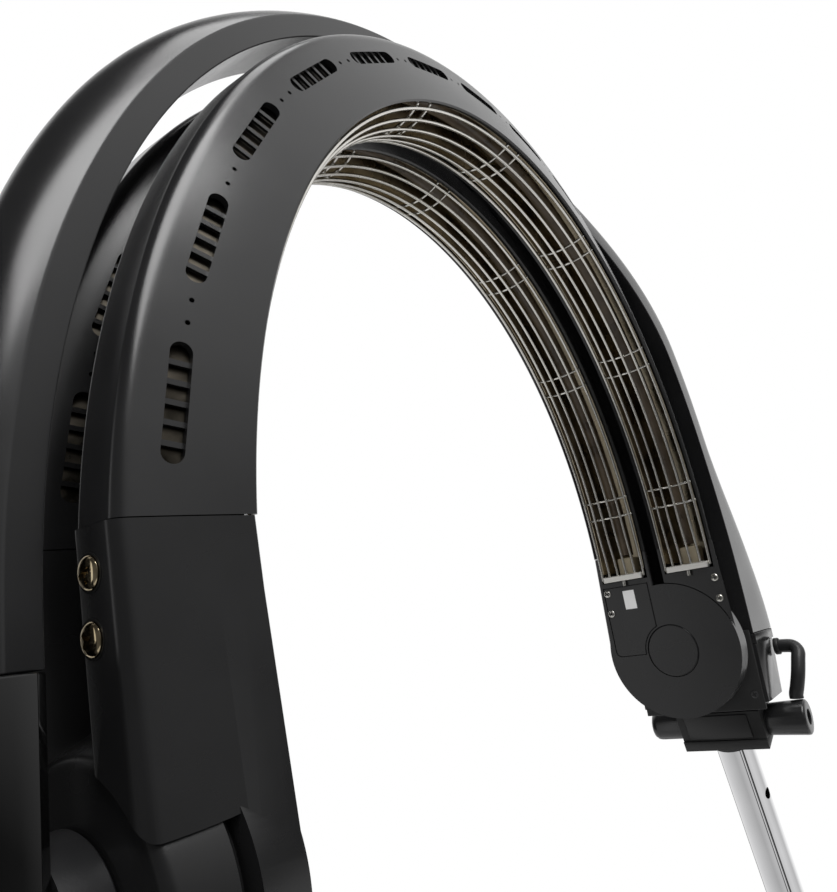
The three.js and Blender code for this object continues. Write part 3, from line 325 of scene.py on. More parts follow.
# Solids that keep their CAD shape, by look, and the widths of their rounded edges
KEPT = {
    "matt": ("root_plate", "tilt_tongue", "pivot_block", "lock_knob", "rating_plate", "control_panel",
             "cable_gland"),
    "satin": ("root_housing",),
    "gloss": ("root_band",),
    "piano": ("control_housing",),
    "window": ("display_window",),
    "board": ("control_board",),
    "steel": ("pivot_pin",),
    "ceramic": ("front_holder_near", "front_holder_far", "rear_holder_near", "rear_holder_far"),
    "key": ("power_button", "mode_button", "time_up_button", "time_down_button"),
    "powder": ("base_star",) + tuple(f"caster_fork_{number}" for number in CASTERS),
}
EDGE_WIDTHS = {"root_housing": 1.5, "control_housing": 1.5, "base_star": 2.5, "pivot_block": 1.2}
PLAIN_EDGE = 0.5
WELD_DISTANCE = 0.00001


# Shader helpers

def node_material(name):
    material = bpy.data.materials.new(name)
    material.use_nodes = True
    nodes = material.node_tree.nodes
    return material, nodes, material.node_tree.links, nodes["Principled BSDF"]


def noise(nodes, links, scale, detail=4.0, stretch=(1, 1, 1)):
    """Noise over the object's own coordinates; scale times stretch is in features per metre."""
    place = nodes.new("ShaderNodeTexCoord")
    stretched = nodes.new("ShaderNodeMapping")
    stretched.inputs["Scale"].default_value = stretch
    texture = nodes.new("ShaderNodeTexNoise")
    texture.inputs["Scale"].default_value = scale
    texture.inputs["Detail"].default_value = detail
    links.new(place.outputs["Object"], stretched.inputs["Vector"])
    links.new(stretched.outputs["Vector"], texture.inputs["Vector"])
    return texture.outputs["Fac"]


def spread(nodes, links, source, low, high, reach=NOISE_MIDDLE):
    """A value that runs from low to high as the source runs over its reach."""
    span = nodes.new("ShaderNodeMapRange")
    span.inputs["From Min"].default_value = reach[0]
    span.inputs["From Max"].default_value = reach[1]
    span.inputs["To Min"].default_value = low
    span.inputs["To Max"].default_value = high
    links.new(source, span.inputs["Value"])
    return span.outputs["Result"]


def tint(nodes, links, source, dark, light, reach=NOISE_MIDDLE):
    """A colour that runs from dark to light as the source runs over its reach."""
    ramp = nodes.new("ShaderNodeValToRGB")
    for stop, position, colour in zip(ramp.color_ramp.elements, reach, (dark, light)):
        stop.position = position
        stop.color = (*colour, 1)
    links.new(source, ramp.inputs["Fac"])
    return ramp.outputs["Color"]


def banded(nodes, links, direction, bands):
    """Grey levels round Z, from a direction and a list of shares of one turn with their levels."""
    around = nodes.new("ShaderNodeTexGradient")
    around.gradient_type = "RADIAL"
    links.new(direction, around.inputs["Vector"])
    ramp = nodes.new("ShaderNodeValToRGB")
    stops = ramp.color_ramp.elements
    for stop, (position, level) in zip(stops, (bands[0], bands[-1])):
        stop.position = position
        stop.color = (level, level, level, 1)
    for position, level in bands[1:-1]:
        stops.new(position).color = (level, level, level, 1)
    links.new(around.outputs["Fac"], ramp.inputs["Fac"])
    return ramp.outputs["Color"]


def worked(nodes, links, operation, first, second):
    """Result of a math operation on two values."""
    step = nodes.new("ShaderNodeMath")
    step.operation = operation
    links.new(first, step.inputs[0])
    links.new(second, step.inputs[1])
    return step.outputs["Value"]


def mixed(nodes, links, share, first, second):
    """Shader that goes from the first to the second as the share goes from 0 to 1."""
    mix = nodes.new("ShaderNodeMixShader")
    links.new(share, mix.inputs["Fac"])
    links.new(first, mix.inputs[1])
    links.new(second, mix.inputs[2])
    return mix.outputs["Shader"]


def background(nodes, links, strength=1.0, colour=None):
    """Part of the surroundings, white unless a colour is led to it."""
    part = nodes.new("ShaderNodeBackground")
    part.inputs["Color"].default_value = (1, 1, 1, 1)
    part.inputs["Strength"].default_value = strength
    if colour is not None:
        links.new(colour, part.inputs["Color"])
    return part.outputs["Background"]


# Materials

def surface(name, dark, light, rough, bump=0.0, grain=2500, patch=30, metal=0.0, specular=0.5, coat=0.0):
    """Colour and roughness that drift in soft patches, with a fine grain in relief."""
    material, nodes, links, shader = node_material(name)
    broad = noise(nodes, links, patch)
    links.new(tint(nodes, links, broad, dark, light), shader.inputs["Base Color"])
    links.new(spread(nodes, links, broad, *rough), shader.inputs["Roughness"])
    shader.inputs["Metallic"].default_value = metal
    shader.inputs["Specular IOR Level"].default_value = specular
    shader.inputs["Coat Weight"].default_value = coat
    shader.inputs["Coat Roughness"].default_value = COAT_ROUGH
    if bump:
        fine = noise(nodes, links, grain, detail=2.0)
        relief = nodes.new("ShaderNodeBump")
        relief.inputs["Strength"].default_value = bump
        relief.inputs["Distance"].default_value = GRAIN_HEIGHT
        links.new(fine, relief.inputs["Height"])
        links.new(relief.outputs["Normal"], shader.inputs["Normal"])
    return material


def brushed(name, dark, light, rough, stretch):
    """Metal with fine lines drawn out along one axis of the piece."""
    material, nodes, links, shader = node_material(name)
    lines = noise(nodes, links, 1.0, detail=6.0, stretch=stretch)
    links.new(tint(nodes, links, lines, dark, light), shader.inputs["Base Color"])
    links.new(spread(nodes, links, lines, *rough), shader.inputs["Roughness"])
    shader.inputs["Metallic"].default_value = 1.0
    return material


LOOKS = {
    "satin": surface("satin_black_plastic", (0.011, 0.011, 0.0114), (0.015, 0.015, 0.0155), (0.20, 0.26),
                     bump=0.10, specular=0.6),
    "gloss": surface("gloss_black_plastic", (0.009, 0.009, 0.0093), (0.013, 0.013, 0.0134), (0.24, 0.30),
                     bump=0.10),
    "piano": surface("piano_black_plastic", (0.003, 0.003, 0.003), (0.005, 0.005, 0.005), (0.07, 0.11),
                     bump=0.03),
    "matt": surface("matt_black_plastic", (0.011, 0.011, 0.011), (0.016, 0.016, 0.016), (0.42, 0.52),
                    bump=0.35),
    "powder": surface("black_powder_coat", (0.016, 0.016, 0.017), (0.024, 0.024, 0.025), (0.40, 0.48),
                      bump=0.5, grain=1400),
    # Near-black painted shade for the recess round the crown screws
    "recess_shade": surface("painted_recess_shade", (0.005, 0.005, 0.005), (0.008, 0.008, 0.008), (0.45, 0.55),
                      bump=0.2, specular=0.3),
    # Back sheet seen through the vents: near black as painted shade, its lighter patches painted glints
    "shaded_back": surface("painted_shade_reflector_back", (0.010, 0.009, 0.007), (0.07, 0.062, 0.05), (0.25, 0.38),
                    bump=0.2, grain=500, patch=120, metal=1.0),
    "chrome": surface("polished_chrome", (0.74, 0.74, 0.75), (0.80, 0.80, 0.81), (0.03, 0.05), metal=1.0),
    "wire": surface("nickel_wire", (0.68, 0.66, 0.61), (0.84, 0.82, 0.77), (0.18, 0.28),
                    bump=0.1, grain=900, patch=60, metal=1.0),
    "zinc": surface("zinc_screw", (0.62, 0.60, 0.54), (0.78, 0.77, 0.74), (0.18, 0.30),
                    bump=0.1, grain=1200, patch=200, metal=1.0),
    "brass": surface("brass_screw", (0.45, 0.36, 0.22), (0.62, 0.52, 0.35), (0.08, 0.14),
                     patch=200, metal=1.0),
    "oxide": surface("blackened_steel", (0.020, 0.020, 0.021), (0.032, 0.032, 0.033), (0.30, 0.42),
                     bump=0.2, grain=1500),
    "bar": brushed("guard_bar", (0.72, 0.70, 0.66), (0.88, 0.87, 0.83), (0.30, 0.42), (900, 60, 900)),
    "reflector": surface("tinted_reflector", (0.30, 0.25, 0.17), (0.60, 0.53, 0.40), (0.20, 0.36),
                         bump=0.2, grain=500, patch=45, metal=1.0),
    "heater": surface("heater_tube", (0.05, 0.035, 0.022), (0.13, 0.095, 0.06), (0.25, 0.40),
                      bump=0.2, grain=600, patch=70),
    "ceramic": surface("ceramic", (0.30, 0.25, 0.17), (0.46, 0.40, 0.28), (0.55, 0.70), bump=0.3),
    "window": surface("dark_red_window", (0.020, 0.003, 0.003), (0.028, 0.005, 0.004), (0.05, 0.08),
                      coat=1.0),
    "rubber": surface("grey_rubber", (0.030, 0.030, 0.032), (0.045, 0.045, 0.047), (0.55, 0.70),
                      bump=0.4, grain=1800),
    "key": surface("button_rubber", (0.16, 0.16, 0.165), (0.21, 0.21, 0.215), (0.45, 0.55), bump=0.3),
    "board": surface("circuit_board", (0.010, 0.055, 0.026), (0.016, 0.085, 0.040), (0.35, 0.45),
                     bump=0.3, grain=700, patch=300),
    "steel": brushed("turned_steel", (0.42, 0.42, 0.43), (0.56, 0.56, 0.57), (0.25, 0.38), (2500, 300, 300)),
    "label": surface("blank_label", (0.78, 0.78, 0.77), (0.84, 0.84, 0.83), (0.40, 0.50), bump=0.15),
    "cable": surface("cable_jacket", (0.013, 0.013, 0.0135), (0.020, 0.020, 0.021), (0.34, 0.44), bump=0.25),
}


# Mesh helpers

def raw(name, verts, faces, place):
    mesh = bpy.data.meshes.new(name)
    mesh.from_pydata([tuple(vert) for vert in verts], [], faces)
    mesh.transform(place)
    work = bmesh.new()
    work.from_mesh(mesh)
    bmesh.ops.recalc_face_normals(work, faces=work.faces)
    work.to_mesh(mesh)
    work.free()
    return linked(name, mesh)


def linked(name, data):
    piece = bpy.data.objects.new(name, data)
    bpy.context.scene.collection.objects.link(piece)
    return piece


def smooth(piece, angle=35):
    for face in piece.data.polygons:
        face.use_smooth = True
    piece.data.set_sharp_from_angle(angle=math.radians(angle))


def soften(piece, width, segments=2, angle=30):
    """Rounds the sharp edges of a piece by a width in millimetres."""
    bevel = piece.modifiers.new("edges", "BEVEL")
    bevel.width = width * MM
    bevel.segments = segments
    bevel.limit_method = "ANGLE"
    bevel.angle_limit = math.radians(angle)
    bevel.harden_normals = True


def dress(piece, look, body, *replaced):
    piece.data.materials.clear()
    piece.data.materials.append(LOOKS[look])
    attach(piece, body)
    if replaced:
        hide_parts(*replaced)


def settle(piece, place):
    piece.data.transform(place)
    return piece


def carve(piece, tool, operation="DIFFERENCE"):
    """Cuts or joins the tool into the piece's own mesh and takes the tool away."""
    step = piece.modifiers.new("carve", "BOOLEAN")
    step.operation = operation
    step.solver = "EXACT"
    step.object = tool
    graph = bpy.context.evaluated_depsgraph_get()
    old = piece.data
    mesh = bpy.data.meshes.new_from_object(piece.evaluated_get(graph))
    piece.modifiers.clear()
    piece.data = mesh
    mesh.name = piece.name
    bpy.data.meshes.remove(old)
    bpy.data.objects.remove(tool)


def joined(name, parts):
    """One mesh out of several bare ones."""
    work = bmesh.new()
    for part in parts:
        work.from_mesh(part.data)
        bpy.data.objects.remove(part)
    mesh = bpy.data.meshes.new(name)
    work.to_mesh(mesh)
    work.free()
    return linked(name, mesh)


def loft(name, rings, place, closed=False):
    """Skin over a run of like rings, with flat ends or, when closed, joined end to start."""
    size = len(rings[0])
    verts = [vert for ring in rings for vert in ring]
    faces = []
    for ring in range(len(rings) - (0 if closed else 1)):
        here = ring * size
        there = (ring + 1) % len(rings) * size
        for corner in range(size):
            beside = (corner + 1) % size
            faces.append((here + corner, here + beside, there + beside, there + corner))
    if not closed:
        faces.append(tuple(range(size)))
        faces.append(tuple(range(len(verts) - size, len(verts))))
    return raw(name, verts, faces, place)


def prism(name, outline, low, high, place):
    """Straight solid of a flat outline drawn out along Z."""
    return loft(name, [[(a, b, depth) for a, b in outline] for depth in (low, high)], place)


def prism_x(name, outline, low, high, place):
    """Straight solid of an outline in Y and Z drawn out along X."""
    return loft(name, [[(depth, a, b) for a, b in outline] for depth in (low, high)], place)


def rod_x(name, radius, low, high, place, sides=96):
    return prism_x(name, circle(radius, sides), low, high, place)


def arc(centre, radius, start, end, steps):
    angles = [math.radians(start + (end - start) * step / steps) for step in range(steps + 1)]
    return [(centre[0] + radius * math.cos(angle), centre[1] + radius * math.sin(angle)) for angle in angles]


def circle(radius, sides):
    return arc((0, 0), radius, 0, 360 - 360 / sides, sides - 1)


def rectangle(low, high):
    """Outline between two opposite corners."""
    return [(low[0], low[1]), (high[0], low[1]), (high[0], high[1]), (low[0], high[1])]


def lathe(name, profile, place, sides=72):
    """Round solid about Z from points of radius and height, each radius over zero; its ends are flat."""
    rings = [[(x, y, height) for x, y in circle(radius, sides)] for radius, height in profile]
    return loft(name, rings, place)


def round_ring(name, profile, place, sides=72):
    """Ring about Z from a closed profile of radius and height."""
    rings = [[(radius * x, radius * y, height) for radius, height in profile] for x, y in circle(1, sides)]
    piece = loft(name, rings, place, closed=True)
    smooth(piece)
    return piece


def tube(name, points, radius, place, sides):
    """Round tube along a route of vectors, with its rings carried forward without twist."""
    last = len(points) - 1
    ahead = [(points[min(i + 1, last)] - points[max(i - 1, 0)]).normalized() for i in range(last + 1)]
    side = ahead[0].orthogonal().normalized()
    rings = []
    for point, way in zip(points, ahead):
        side = (side - way * side.dot(way)).normalized()
        up = way.cross(side)
        rings.append([point + side * x + up * y for x, y in circle(radius, sides)])
    return loft(name, rings, place)


def curve_through(points, steps):
    """Catmull-Rom curve through a few points."""
    points = [Vector(point) for point in points]
    ends = [points[0] * 2 - points[1]] + points + [points[-1] * 2 - points[-2]]
    route = []
    for i in range(1, len(ends) - 2):
        a, b, c, d = ends[i - 1:i + 3]
        for step in range(steps):
            t = step / steps
            route.append(0.5 * (2 * b + (c - a) * t + (2 * a - 5 * b + 4 * c - d) * t * t
                                + (3 * b - a - 3 * c + d) * t ** 3))
    return route + [points[-1]]


def between(first, second, share):
    return first + (second - first) * share


def smoothstep(value, low, high):
    share = min(max((value - low) / (high - low), 0), 1)
    return share * share * (3 - 2 * share)


def mirrored(half):
    return half + [(offset, -side) for offset, side in reversed(half)]


# Camera, light and floor

def make_camera():
    turn = HEAD.to_3x3().normalized()
    right = turn @ Vector(CAMERA_RIGHT)
    ahead = (turn @ Vector(CAMERA_AHEAD)).normalized()
    right = (right - ahead * right.dot(ahead)).normalized()
    up = right.cross(ahead)
    data = bpy.data.cameras.new("camera")
    data.sensor_width = SENSOR
    data.lens = FOCAL_PIXELS / PICTURE_HEIGHT * SENSOR
    data.clip_start = NEAREST_SEEN
    camera = linked("camera", data)
    axes = Matrix((right, up, -ahead)).transposed().to_4x4()
    camera.matrix_world = Matrix.Translation(HEAD @ Vector(CAMERA_PLACE)) @ axes
    bpy.context.scene.camera = camera


def make_world():
    """White for the camera; reflections show white ahead, and a soft lamp and a dark room behind."""
    world = bpy.data.worlds.new("studio")
    bpy.context.scene.world = world
    world.use_nodes = True
    nodes = world.node_tree.nodes
    links = world.node_tree.links
    nodes.clear()
    output = nodes.new("ShaderNodeOutputWorld")
    path = nodes.new("ShaderNodeLightPath")
    direction = nodes.new("ShaderNodeTexCoord").outputs["Generated"]
    apart = nodes.new("ShaderNodeSeparateXYZ")
    links.new(direction, apart.inputs["Vector"])
    height = apart.outputs["Z"]
    studio = background(nodes, links, colour=banded(nodes, links, direction, LOW_BANDS))
    high = background(nodes, links, colour=banded(nodes, links, direction, HIGH_BANDS))
    overhead = background(nodes, links, OVERHEAD_LEVEL)
    for part, reach in ((high, HIGH_REACH), (overhead, OVERHEAD_REACH)):
        studio = mixed(nodes, links, spread(nodes, links, height, 0, 1, reach), studio, part)
    white = background(nodes, links)
    sky = tint(nodes, links, height, GROUND_LIGHT, SKY_LIGHT, SKY_REACH)
    shown = background(nodes, links, SKY_STRENGTH, sky)
    for ray, seen in (("Is Glossy Ray", studio), ("Is Transmission Ray", white), ("Is Camera Ray", white)):
        shown = mixed(nodes, links, path.outputs[ray], shown, seen)
    links.new(shown, output.inputs["Surface"])


def make_lamps():
    for name, place, aim, size, power in LAMPS:
        data = bpy.data.lights.new(name, "AREA")
        data.shape = "RECTANGLE"
        data.size, data.size_y = size
        data.energy = power
        lamp = linked(name, data)
        lamp.location = place
        ahead = HEAD @ Vector((0, 0, aim)) - Vector(place)
        lamp.rotation_euler = ahead.to_track_quat("-Z", "Y").to_euler()


def make_floor():
    """Pale floor that keeps the shadow near the base and is plain white further out."""
    material, nodes, links, shader = node_material("pale_floor")
    drift = noise(nodes, links, FLOOR_PATCHES)
    links.new(tint(nodes, links, drift, FLOOR_DARK, FLOOR_LIGHT), shader.inputs["Base Color"])
    shader.inputs["Roughness"].default_value = FLOOR_ROUGH
    path = nodes.new("ShaderNodeLightPath")
    spot = nodes.new("ShaderNodeTexCoord").outputs["Object"]
    white = nodes.new("ShaderNodeEmission")
    reflected = nodes.new("ShaderNodeEmission")
    links.new(banded(nodes, links, spot, FLOOR_BANDS), reflected.inputs["Color"])
    shown = mixed(nodes, links, path.outputs["Is Glossy Ray"], white.outputs["Emission"],
                  reflected.outputs["Emission"])
    away = nodes.new("ShaderNodeVectorMath")
    away.operation = "LENGTH"
    links.new(spot, away.inputs[0])
    far = spread(nodes, links, away.outputs["Value"], 0, 1, FLOOR_SHADOW_REACH)
    seen = path.outputs["Is Camera Ray"]
    for ray in ("Is Glossy Ray", "Is Transmission Ray"):
        seen = worked(nodes, links, "MAXIMUM", seen, path.outputs[ray])
    share = worked(nodes, links, "MULTIPLY", seen, far)
    whole = mixed(nodes, links, share, shader.outputs["BSDF"], shown)
    links.new(whole, nodes["Material Output"].inputs["Surface"])
    verts = [(x, y, 0) for x, y in rectangle(*FLOOR_CORNERS)]
    floor = raw("floor", verts, [(0, 1, 2, 3)], STILL)
    floor.data.materials.append(material)


# Arches

def arch_point(offset, y, turn):
    x = -(HALF_SPAN + offset) * math.cos(turn)
    return Vector((x, y, ARCH_CENTRE_Z + (ARCH_RISE + offset) * math.sin(turn)))


def arch_turn(offset, level, share):
    """Turn at a share of the way over the arch, from a level on one side to the same level on the other."""
    start = math.asin((level - ARCH_CENTRE_Z) / (ARCH_RISE + offset))
    return start + (math.pi - 2 * start) * share


def arch_rings(section, middle, level):
    rings = []
    for ring in range(ARCH_RINGS + 1):
        share = ring / ARCH_RINGS
        rings.append([arch_point(offset, middle + side, arch_turn(offset, level, share))
                      for offset, side in section])
    return rings


def shell_half():
    """Outer outline from the mouth to the crown: a side with a slight belly, then a round shoulder."""
    side = []
    for step in range(SIDE_STEPS + 1):
        share = step / SIDE_STEPS
        offset, half = (between(*ends, share) for ends in zip(SHELL_FOOT, SHELL_SHOULDER[0]))
        side.append((offset, half + SHELL_BELLY * math.sin(math.pi * share)))
    bend = []
    for step in range(1, SHOULDER_STEPS + 1):
        t = step / SHOULDER_STEPS
        weights = ((1 - t) ** 2, 2 * t * (1 - t), t * t)
        bend.append(tuple(sum(weight * value for weight, value in zip(weights, values))
                          for values in zip(*SHELL_SHOULDER)))
    return [SHELL_LIP] + side + bend


def inside_half(depth, start):
    """Inner outline from its start at the mouth to the crown, at a depth below the outside."""
    shoulder, half = INSIDE_SHOULDER
    return [(start, INSIDE_HALF_MOUTH - start * INSIDE_LEAN - depth), (shoulder, half - depth),
            (SHELL_DEPTH - depth, INSIDE_HALF_CROWN - depth / 2)]


def channel(outer, inner):
    return mirrored(outer) + list(reversed(mirrored(inner)))


def vent_turns():
    return [math.radians(VENT_FIRST_TURN + VENT_PITCH_TURN * vent) for vent in range(VENT_COUNT)]


def vent_frame(side, turn):
    """Axes along the arch, across the wall and out of the wall, at a vent of one side."""
    ahead = arch_point(VENT_OFFSET, 0, turn + SMALL_TURN)
    along = (ahead - arch_point(VENT_OFFSET, 0, turn - SMALL_TURN)).normalized()
    outwards = Vector((-along.z, 0, along.x))
    normal = (Vector((0, side, 0)) + outwards * VENT_LEAN).normalized()
    basis = Matrix((along, normal.cross(along), normal)).transposed().to_4x4()
    return Matrix.Translation(arch_point(VENT_OFFSET, side * VENT_WALL_Y, turn)) @ basis


def vent_cutters():
    radius = VENT_WIDTH / 2
    reach = VENT_LENGTH / 2 - radius
    slot = (arc((reach, 0), radius, -90, 90, VENT_END_STEPS)
            + arc((-reach, 0), radius, 90, 270, VENT_END_STEPS))
    dot = circle(DOT_RADIUS, DOT_SIDES)
    cutters = []
    turns = vent_turns()
    for side in (-1, 1):
        for turn in turns:
            cutters.append(prism("slot", slot, -VENT_CUT, VENT_CUT, vent_frame(side, turn)))
        for turn, after in zip(turns, turns[1:]):
            for step in (-1, 1):
                spot = (turn + after) / 2 + step * DOT_SPREAD / (2 * ARCH_RISE)
                cutters.append(prism("dot", dot, -VENT_CUT, VENT_CUT, vent_frame(side, spot)))
    return joined("cutters", cutters)


def vent_ribs():
    ribs = []
    half = (RIB_THICK / 2, VENT_WIDTH / 2 + RIB_OVERLAP)
    outline = rectangle((-half[0], -half[1]), half)
    pitch = VENT_LENGTH / (RIB_COUNT + 1)
    for side in (-1, 1):
        for turn in vent_turns():
            for rib in range(RIB_COUNT):
                shift = Matrix.Translation(((rib - (RIB_COUNT - 1) / 2) * pitch, 0, 0))
                place = vent_frame(side, turn) @ shift
                ribs.append(prism("rib", outline, -RIB_SINK - RIB_DEPTH, -RIB_SINK, place))
    return joined("ribs", ribs)


def copied(source, name, place):
    piece = settle(linked(name, source.data.copy()), place)
    smooth(piece, angle=32)
    return piece


def make_shells():
    """Both shells are one moulding: vented side walls, a slim crown and an open mouth."""
    section = channel(shell_half(), inside_half(SHELL_WALL, MOUTH_EDGE))
    shell = loft("shell", arch_rings(section, 0, SEAM_Z), STILL)
    carve(shell, vent_cutters())
    ribs = vent_ribs()
    for name, side in (("front", -1), ("rear", 1)):
        place = HEAD @ Matrix.Translation((0, side * ARCH_MIDDLE_Y, 0))
        skin = copied(shell, f"{name}_shell_skin", place)
        skin.modifiers.new("even", "WEIGHTED_NORMAL").keep_sharp = True
        dress(skin, "satin", f"{name}_arch", f"{name}_shell")
        dress(copied(ribs, f"{name}_vent_ribs", place), "gloss", f"{name}_arch")
    bpy.data.objects.remove(shell)
    bpy.data.objects.remove(ribs)


def make_reflector(name, middle):
    """Bright sheet towards the mouth, its back behind the vents coloured near black as painted shade, and
    the heater tube in front.
    """
    for label, look, far, near in REFLECTOR_SHEETS:
        section = channel(inside_half(far, REFLECTOR_EDGE), inside_half(near, REFLECTOR_EDGE))
        sheet = loft(f"{name}_reflector_{label}", arch_rings(section, middle, REFLECTOR_FLOOR_Z), HEAD)
        smooth(sheet)
        dress(sheet, look, f"{name}_arch", f"{name}_reflector")
    section = [(HEATER_OFFSET + a, b) for a, b in circle(HEATER_RADIUS, HEATER_SIDES)]
    heater = loft(f"{name}_heater_skin", arch_rings(section, middle, SEAM_Z), HEAD)
    smooth(heater)
    dress(heater, "heater", f"{name}_arch", f"{name}_heater")


def bulge(side):
    return GUARD_BULGE * (1 - (side / GUARD_HALF_WIDTH) ** 2)


def guard_wire(middle, side):
    """A long wire over the arch that dips to the bar at each end."""
    route = []
    for step in range(WIRE_STEPS + 1):
        share = step / WIRE_STEPS
        drawn = between(WIRE_END_BULGE, 1, smoothstep(min(share, 1 - share), 0, WIRE_DIP))
        route.append(arch_point(-bulge(side) * drawn, middle + side, arch_turn(0, WIRE_FLOOR_Z, share)))
    return tube("wire", route, WIRE_RADIUS, HEAD, WIRE_SIDES)


def cross_wire(middle, turn):
    """A wire across the guard, behind the long wires, with its ends turned into the shell."""
    route = [arch_point(CROSS_END_OFFSET, middle - CROSS_HALF_WIDTH, turn)]
    for step in range(CROSS_STEPS + 1):
        side = (2 * step / CROSS_STEPS - 1) * CROSS_HALF_WIDTH
        route.append(arch_point(CROSS_DROP - bulge(side), middle + side, turn))
    route.append(arch_point(CROSS_END_OFFSET, middle + CROSS_HALF_WIDTH, turn))
    return tube("wire", route, CROSS_RADIUS, HEAD, WIRE_SIDES)


def make_guard(name, middle):
    wires = [guard_wire(middle, sign * side) for side in WIRE_PLACES for sign in (-1, 1)]
    for turn in CROSS_TURNS:
        for step in (-1, 1):
            wires.append(cross_wire(middle, math.radians(turn + step * CROSS_HALF_PAIR)))
    guard = joined(f"{name}_guard_wires", wires)
    smooth(guard, angle=50)
    dress(guard, "wire", f"{name}_arch", f"{name}_guard")
    bars = []
    studs = []
    depth, width, height = BAR_SIZE
    for end in (-1, 1):
        outline = rectangle((end * BAR_X, middle - width / 2), (end * (BAR_X + depth), middle + width / 2))
        bars.append(prism("bar", outline, BAR_Z, BAR_Z + height, HEAD))
        place = HEAD @ Matrix.Translation((end * STUD_X, middle, MOUTH_FLOOR_Z))
        studs.append(lathe("stud", STUD, place, sides=24))
    bar = joined(f"{name}_guard_bars", bars)
    soften(bar, BAR_EDGE)
    smooth(bar)
    dress(bar, "bar", f"{name}_arch")
    stud = joined(f"{name}_guard_studs", studs)
    smooth(stud)
    dress(stud, "zinc", f"{name}_arch")


# Hubs and end blocks

def cover_outline(side, grow=0):
    """Cover outline round the cap, grown on all sides for the cover's seat."""
    radius = CAP_RADIUS + COVER_CAP_MARGIN - grow
    inner = COVER_INNER_Y - grow
    outer = COVER_OUTER_Y + grow
    low = COVER_LOW_Z - grow
    high = COVER_TOP_Z + grow
    start = math.degrees(math.acos(inner / radius))
    end = math.degrees(math.asin(low / radius))
    corner = arc((outer - COVER_CORNER, low + COVER_CORNER), COVER_CORNER, 270, 360, steps=8)
    outline = [(inner, high)] + arc((0, 0), radius, start, end, steps=16) + corner + [(outer, high)]
    return [(side * y, z) for y, z in outline]


def drum_at(x):
    return DRUM_RADIUS - DRUM_TAPER * (x - DRUM_X)


def hub_turned(name, profile, sides=DISC_SIDES):
    """Round solid on the hub axis from points of radius and X."""
    return lathe(name, profile, Z_TO_X, sides)


def leg(name, side):
    """Straight end of an arch that grows wider on its outer side towards the hub."""
    rings = []
    for height, widened in LEG_RINGS:
        ring = []
        for offset, across in mirrored(shell_half()):
            share = widened if across * side > 0 else 1
            ring.append((HALF_SPAN + offset, side * ARCH_MIDDLE_Y + across * share, height))
        rings.append(ring)
    return loft(name, rings, STILL)


def add_disc(block, side):
    """Hub disc of the inner block, with room for the drum and seats for the cap and the cover."""
    start = HALF_SPAN - OVERCUT
    room = [(drum_at(x) + DRUM_CLEAR, x) for x in (DISC_BACK_X, BEHIND_X)]
    carve(block, hub_turned("room", room))
    carve(block, rod_x("disc", DISC_RADIUS, HALF_SPAN, DISC_BACK_X, STILL, DISC_SIDES), "UNION")
    carve(block, rod_x("seat", CAP_RADIUS + CAP_GAP, start, HALF_SPAN + CAP_SEAT_DEPTH, STILL))
    seat = cover_outline(side, COVER_GAP)
    carve(block, prism_x("seat", seat, start, HALF_SPAN + COVER_SEAT_DEPTH, STILL))


def add_drum(block):
    """Hub drum of the outer block, with a groove in front of it and room for the disc."""
    start = HALF_SPAN - OVERCUT
    carve(block, rod_x("room", DISC_RADIUS + CLEAR, start, GROOVE_X, STILL, DISC_SIDES))
    drum = [(GROOVE_RADIUS, GROOVE_X), (GROOVE_RADIUS, DRUM_X), *DRUM_RIM]
    drum += [(drum_at(x) - drop, x) for x, drop in DRUM_ROUNDING]
    carve(block, hub_turned("drum", drum), "UNION")


def end_block(name, inner, side, end):
    """End of an arch, made at +X of the hubs, turned to its end and cut to the arch's mouth and seam."""
    turn = HALF_TURN if end < 0 else STILL
    block = leg(name, side)
    if inner:
        add_disc(block, side)
    else:
        add_drum(block)
    carve(block, rod_x("bore", BORE_RADIUS, HALF_SPAN - OVERCUT, BEHIND_X, STILL, sides=32))
    room = PLATE_ROOM_RADIUS if end > 0 else FLANGE_RADIUS + CLEAR
    carve(block, rod_x("room", room, FLANGE_X, BEHIND_X, STILL))
    settle(block, HEAD.inverted() @ HUBS @ turn)
    hollow = mirrored([(-OVERCUT, MOUTH_CUT_HALF), *inside_half(SHELL_WALL, MOUTH_EDGE)])
    mouth = [(HALF_SPAN + offset, side * ARCH_MIDDLE_Y + across) for offset, across in hollow]
    carve(block, prism("mouth", mouth, MOUTH_FLOOR_Z, SEAM_Z + OVERCUT, turn))
    carve(block, prism("above", rectangle(*ABOVE_CORNERS), SEAM_Z - SEAM_GAP, ABOVE_TOP_Z, STILL))
    return settle(block, HEAD)


def make_cover(arch, side, place):
    face = HALF_SPAN - COVER_PROUD
    cover = prism_x(f"{arch}_cover_skin", cover_outline(side), face, HALF_SPAN + COVER_DEPTH, place)
    soften(cover, COVER_EDGE)
    smooth(cover)
    dress(cover, "gloss", f"{arch}_arch", f"{arch}_cover")


def make_cap(name, arch, place):
    """Flush flat cap with a soft rim."""
    profile = [(CAP_RADIUS - inset, depth) for inset, depth in CAP_RIM]
    cap = lathe(f"{name}_skin", profile, place @ Matrix.Translation((HALF_SPAN, 0, 0)) @ Z_TO_X, sides=96)
    smooth(cap, angle=40)
    dress(cap, "gloss", f"{arch}_arch", name)


def make_ends():
    """Each arch has an inner block with the hub disc at one end and an outer one with the drum."""
    plan = (("rear", "far", True, 1, 1), ("front", "far", False, -1, 1),
            ("front", "near", True, 1, -1), ("rear", "near", False, -1, -1))
    for arch, label, inner, side, end in plan:
        node = f"{arch}_end_{label}"
        block = end_block(f"{node}_skin", inner, side, end)
        soften(block, BLOCK_EDGE)
        smooth(block)
        dress(block, "gloss", f"{arch}_arch", node)
        if inner:
            place = HUBS @ HALF_TURN if end < 0 else HUBS
            make_cover(arch, side, place)
            make_cap(f"hub_cap_{label}", arch, place)


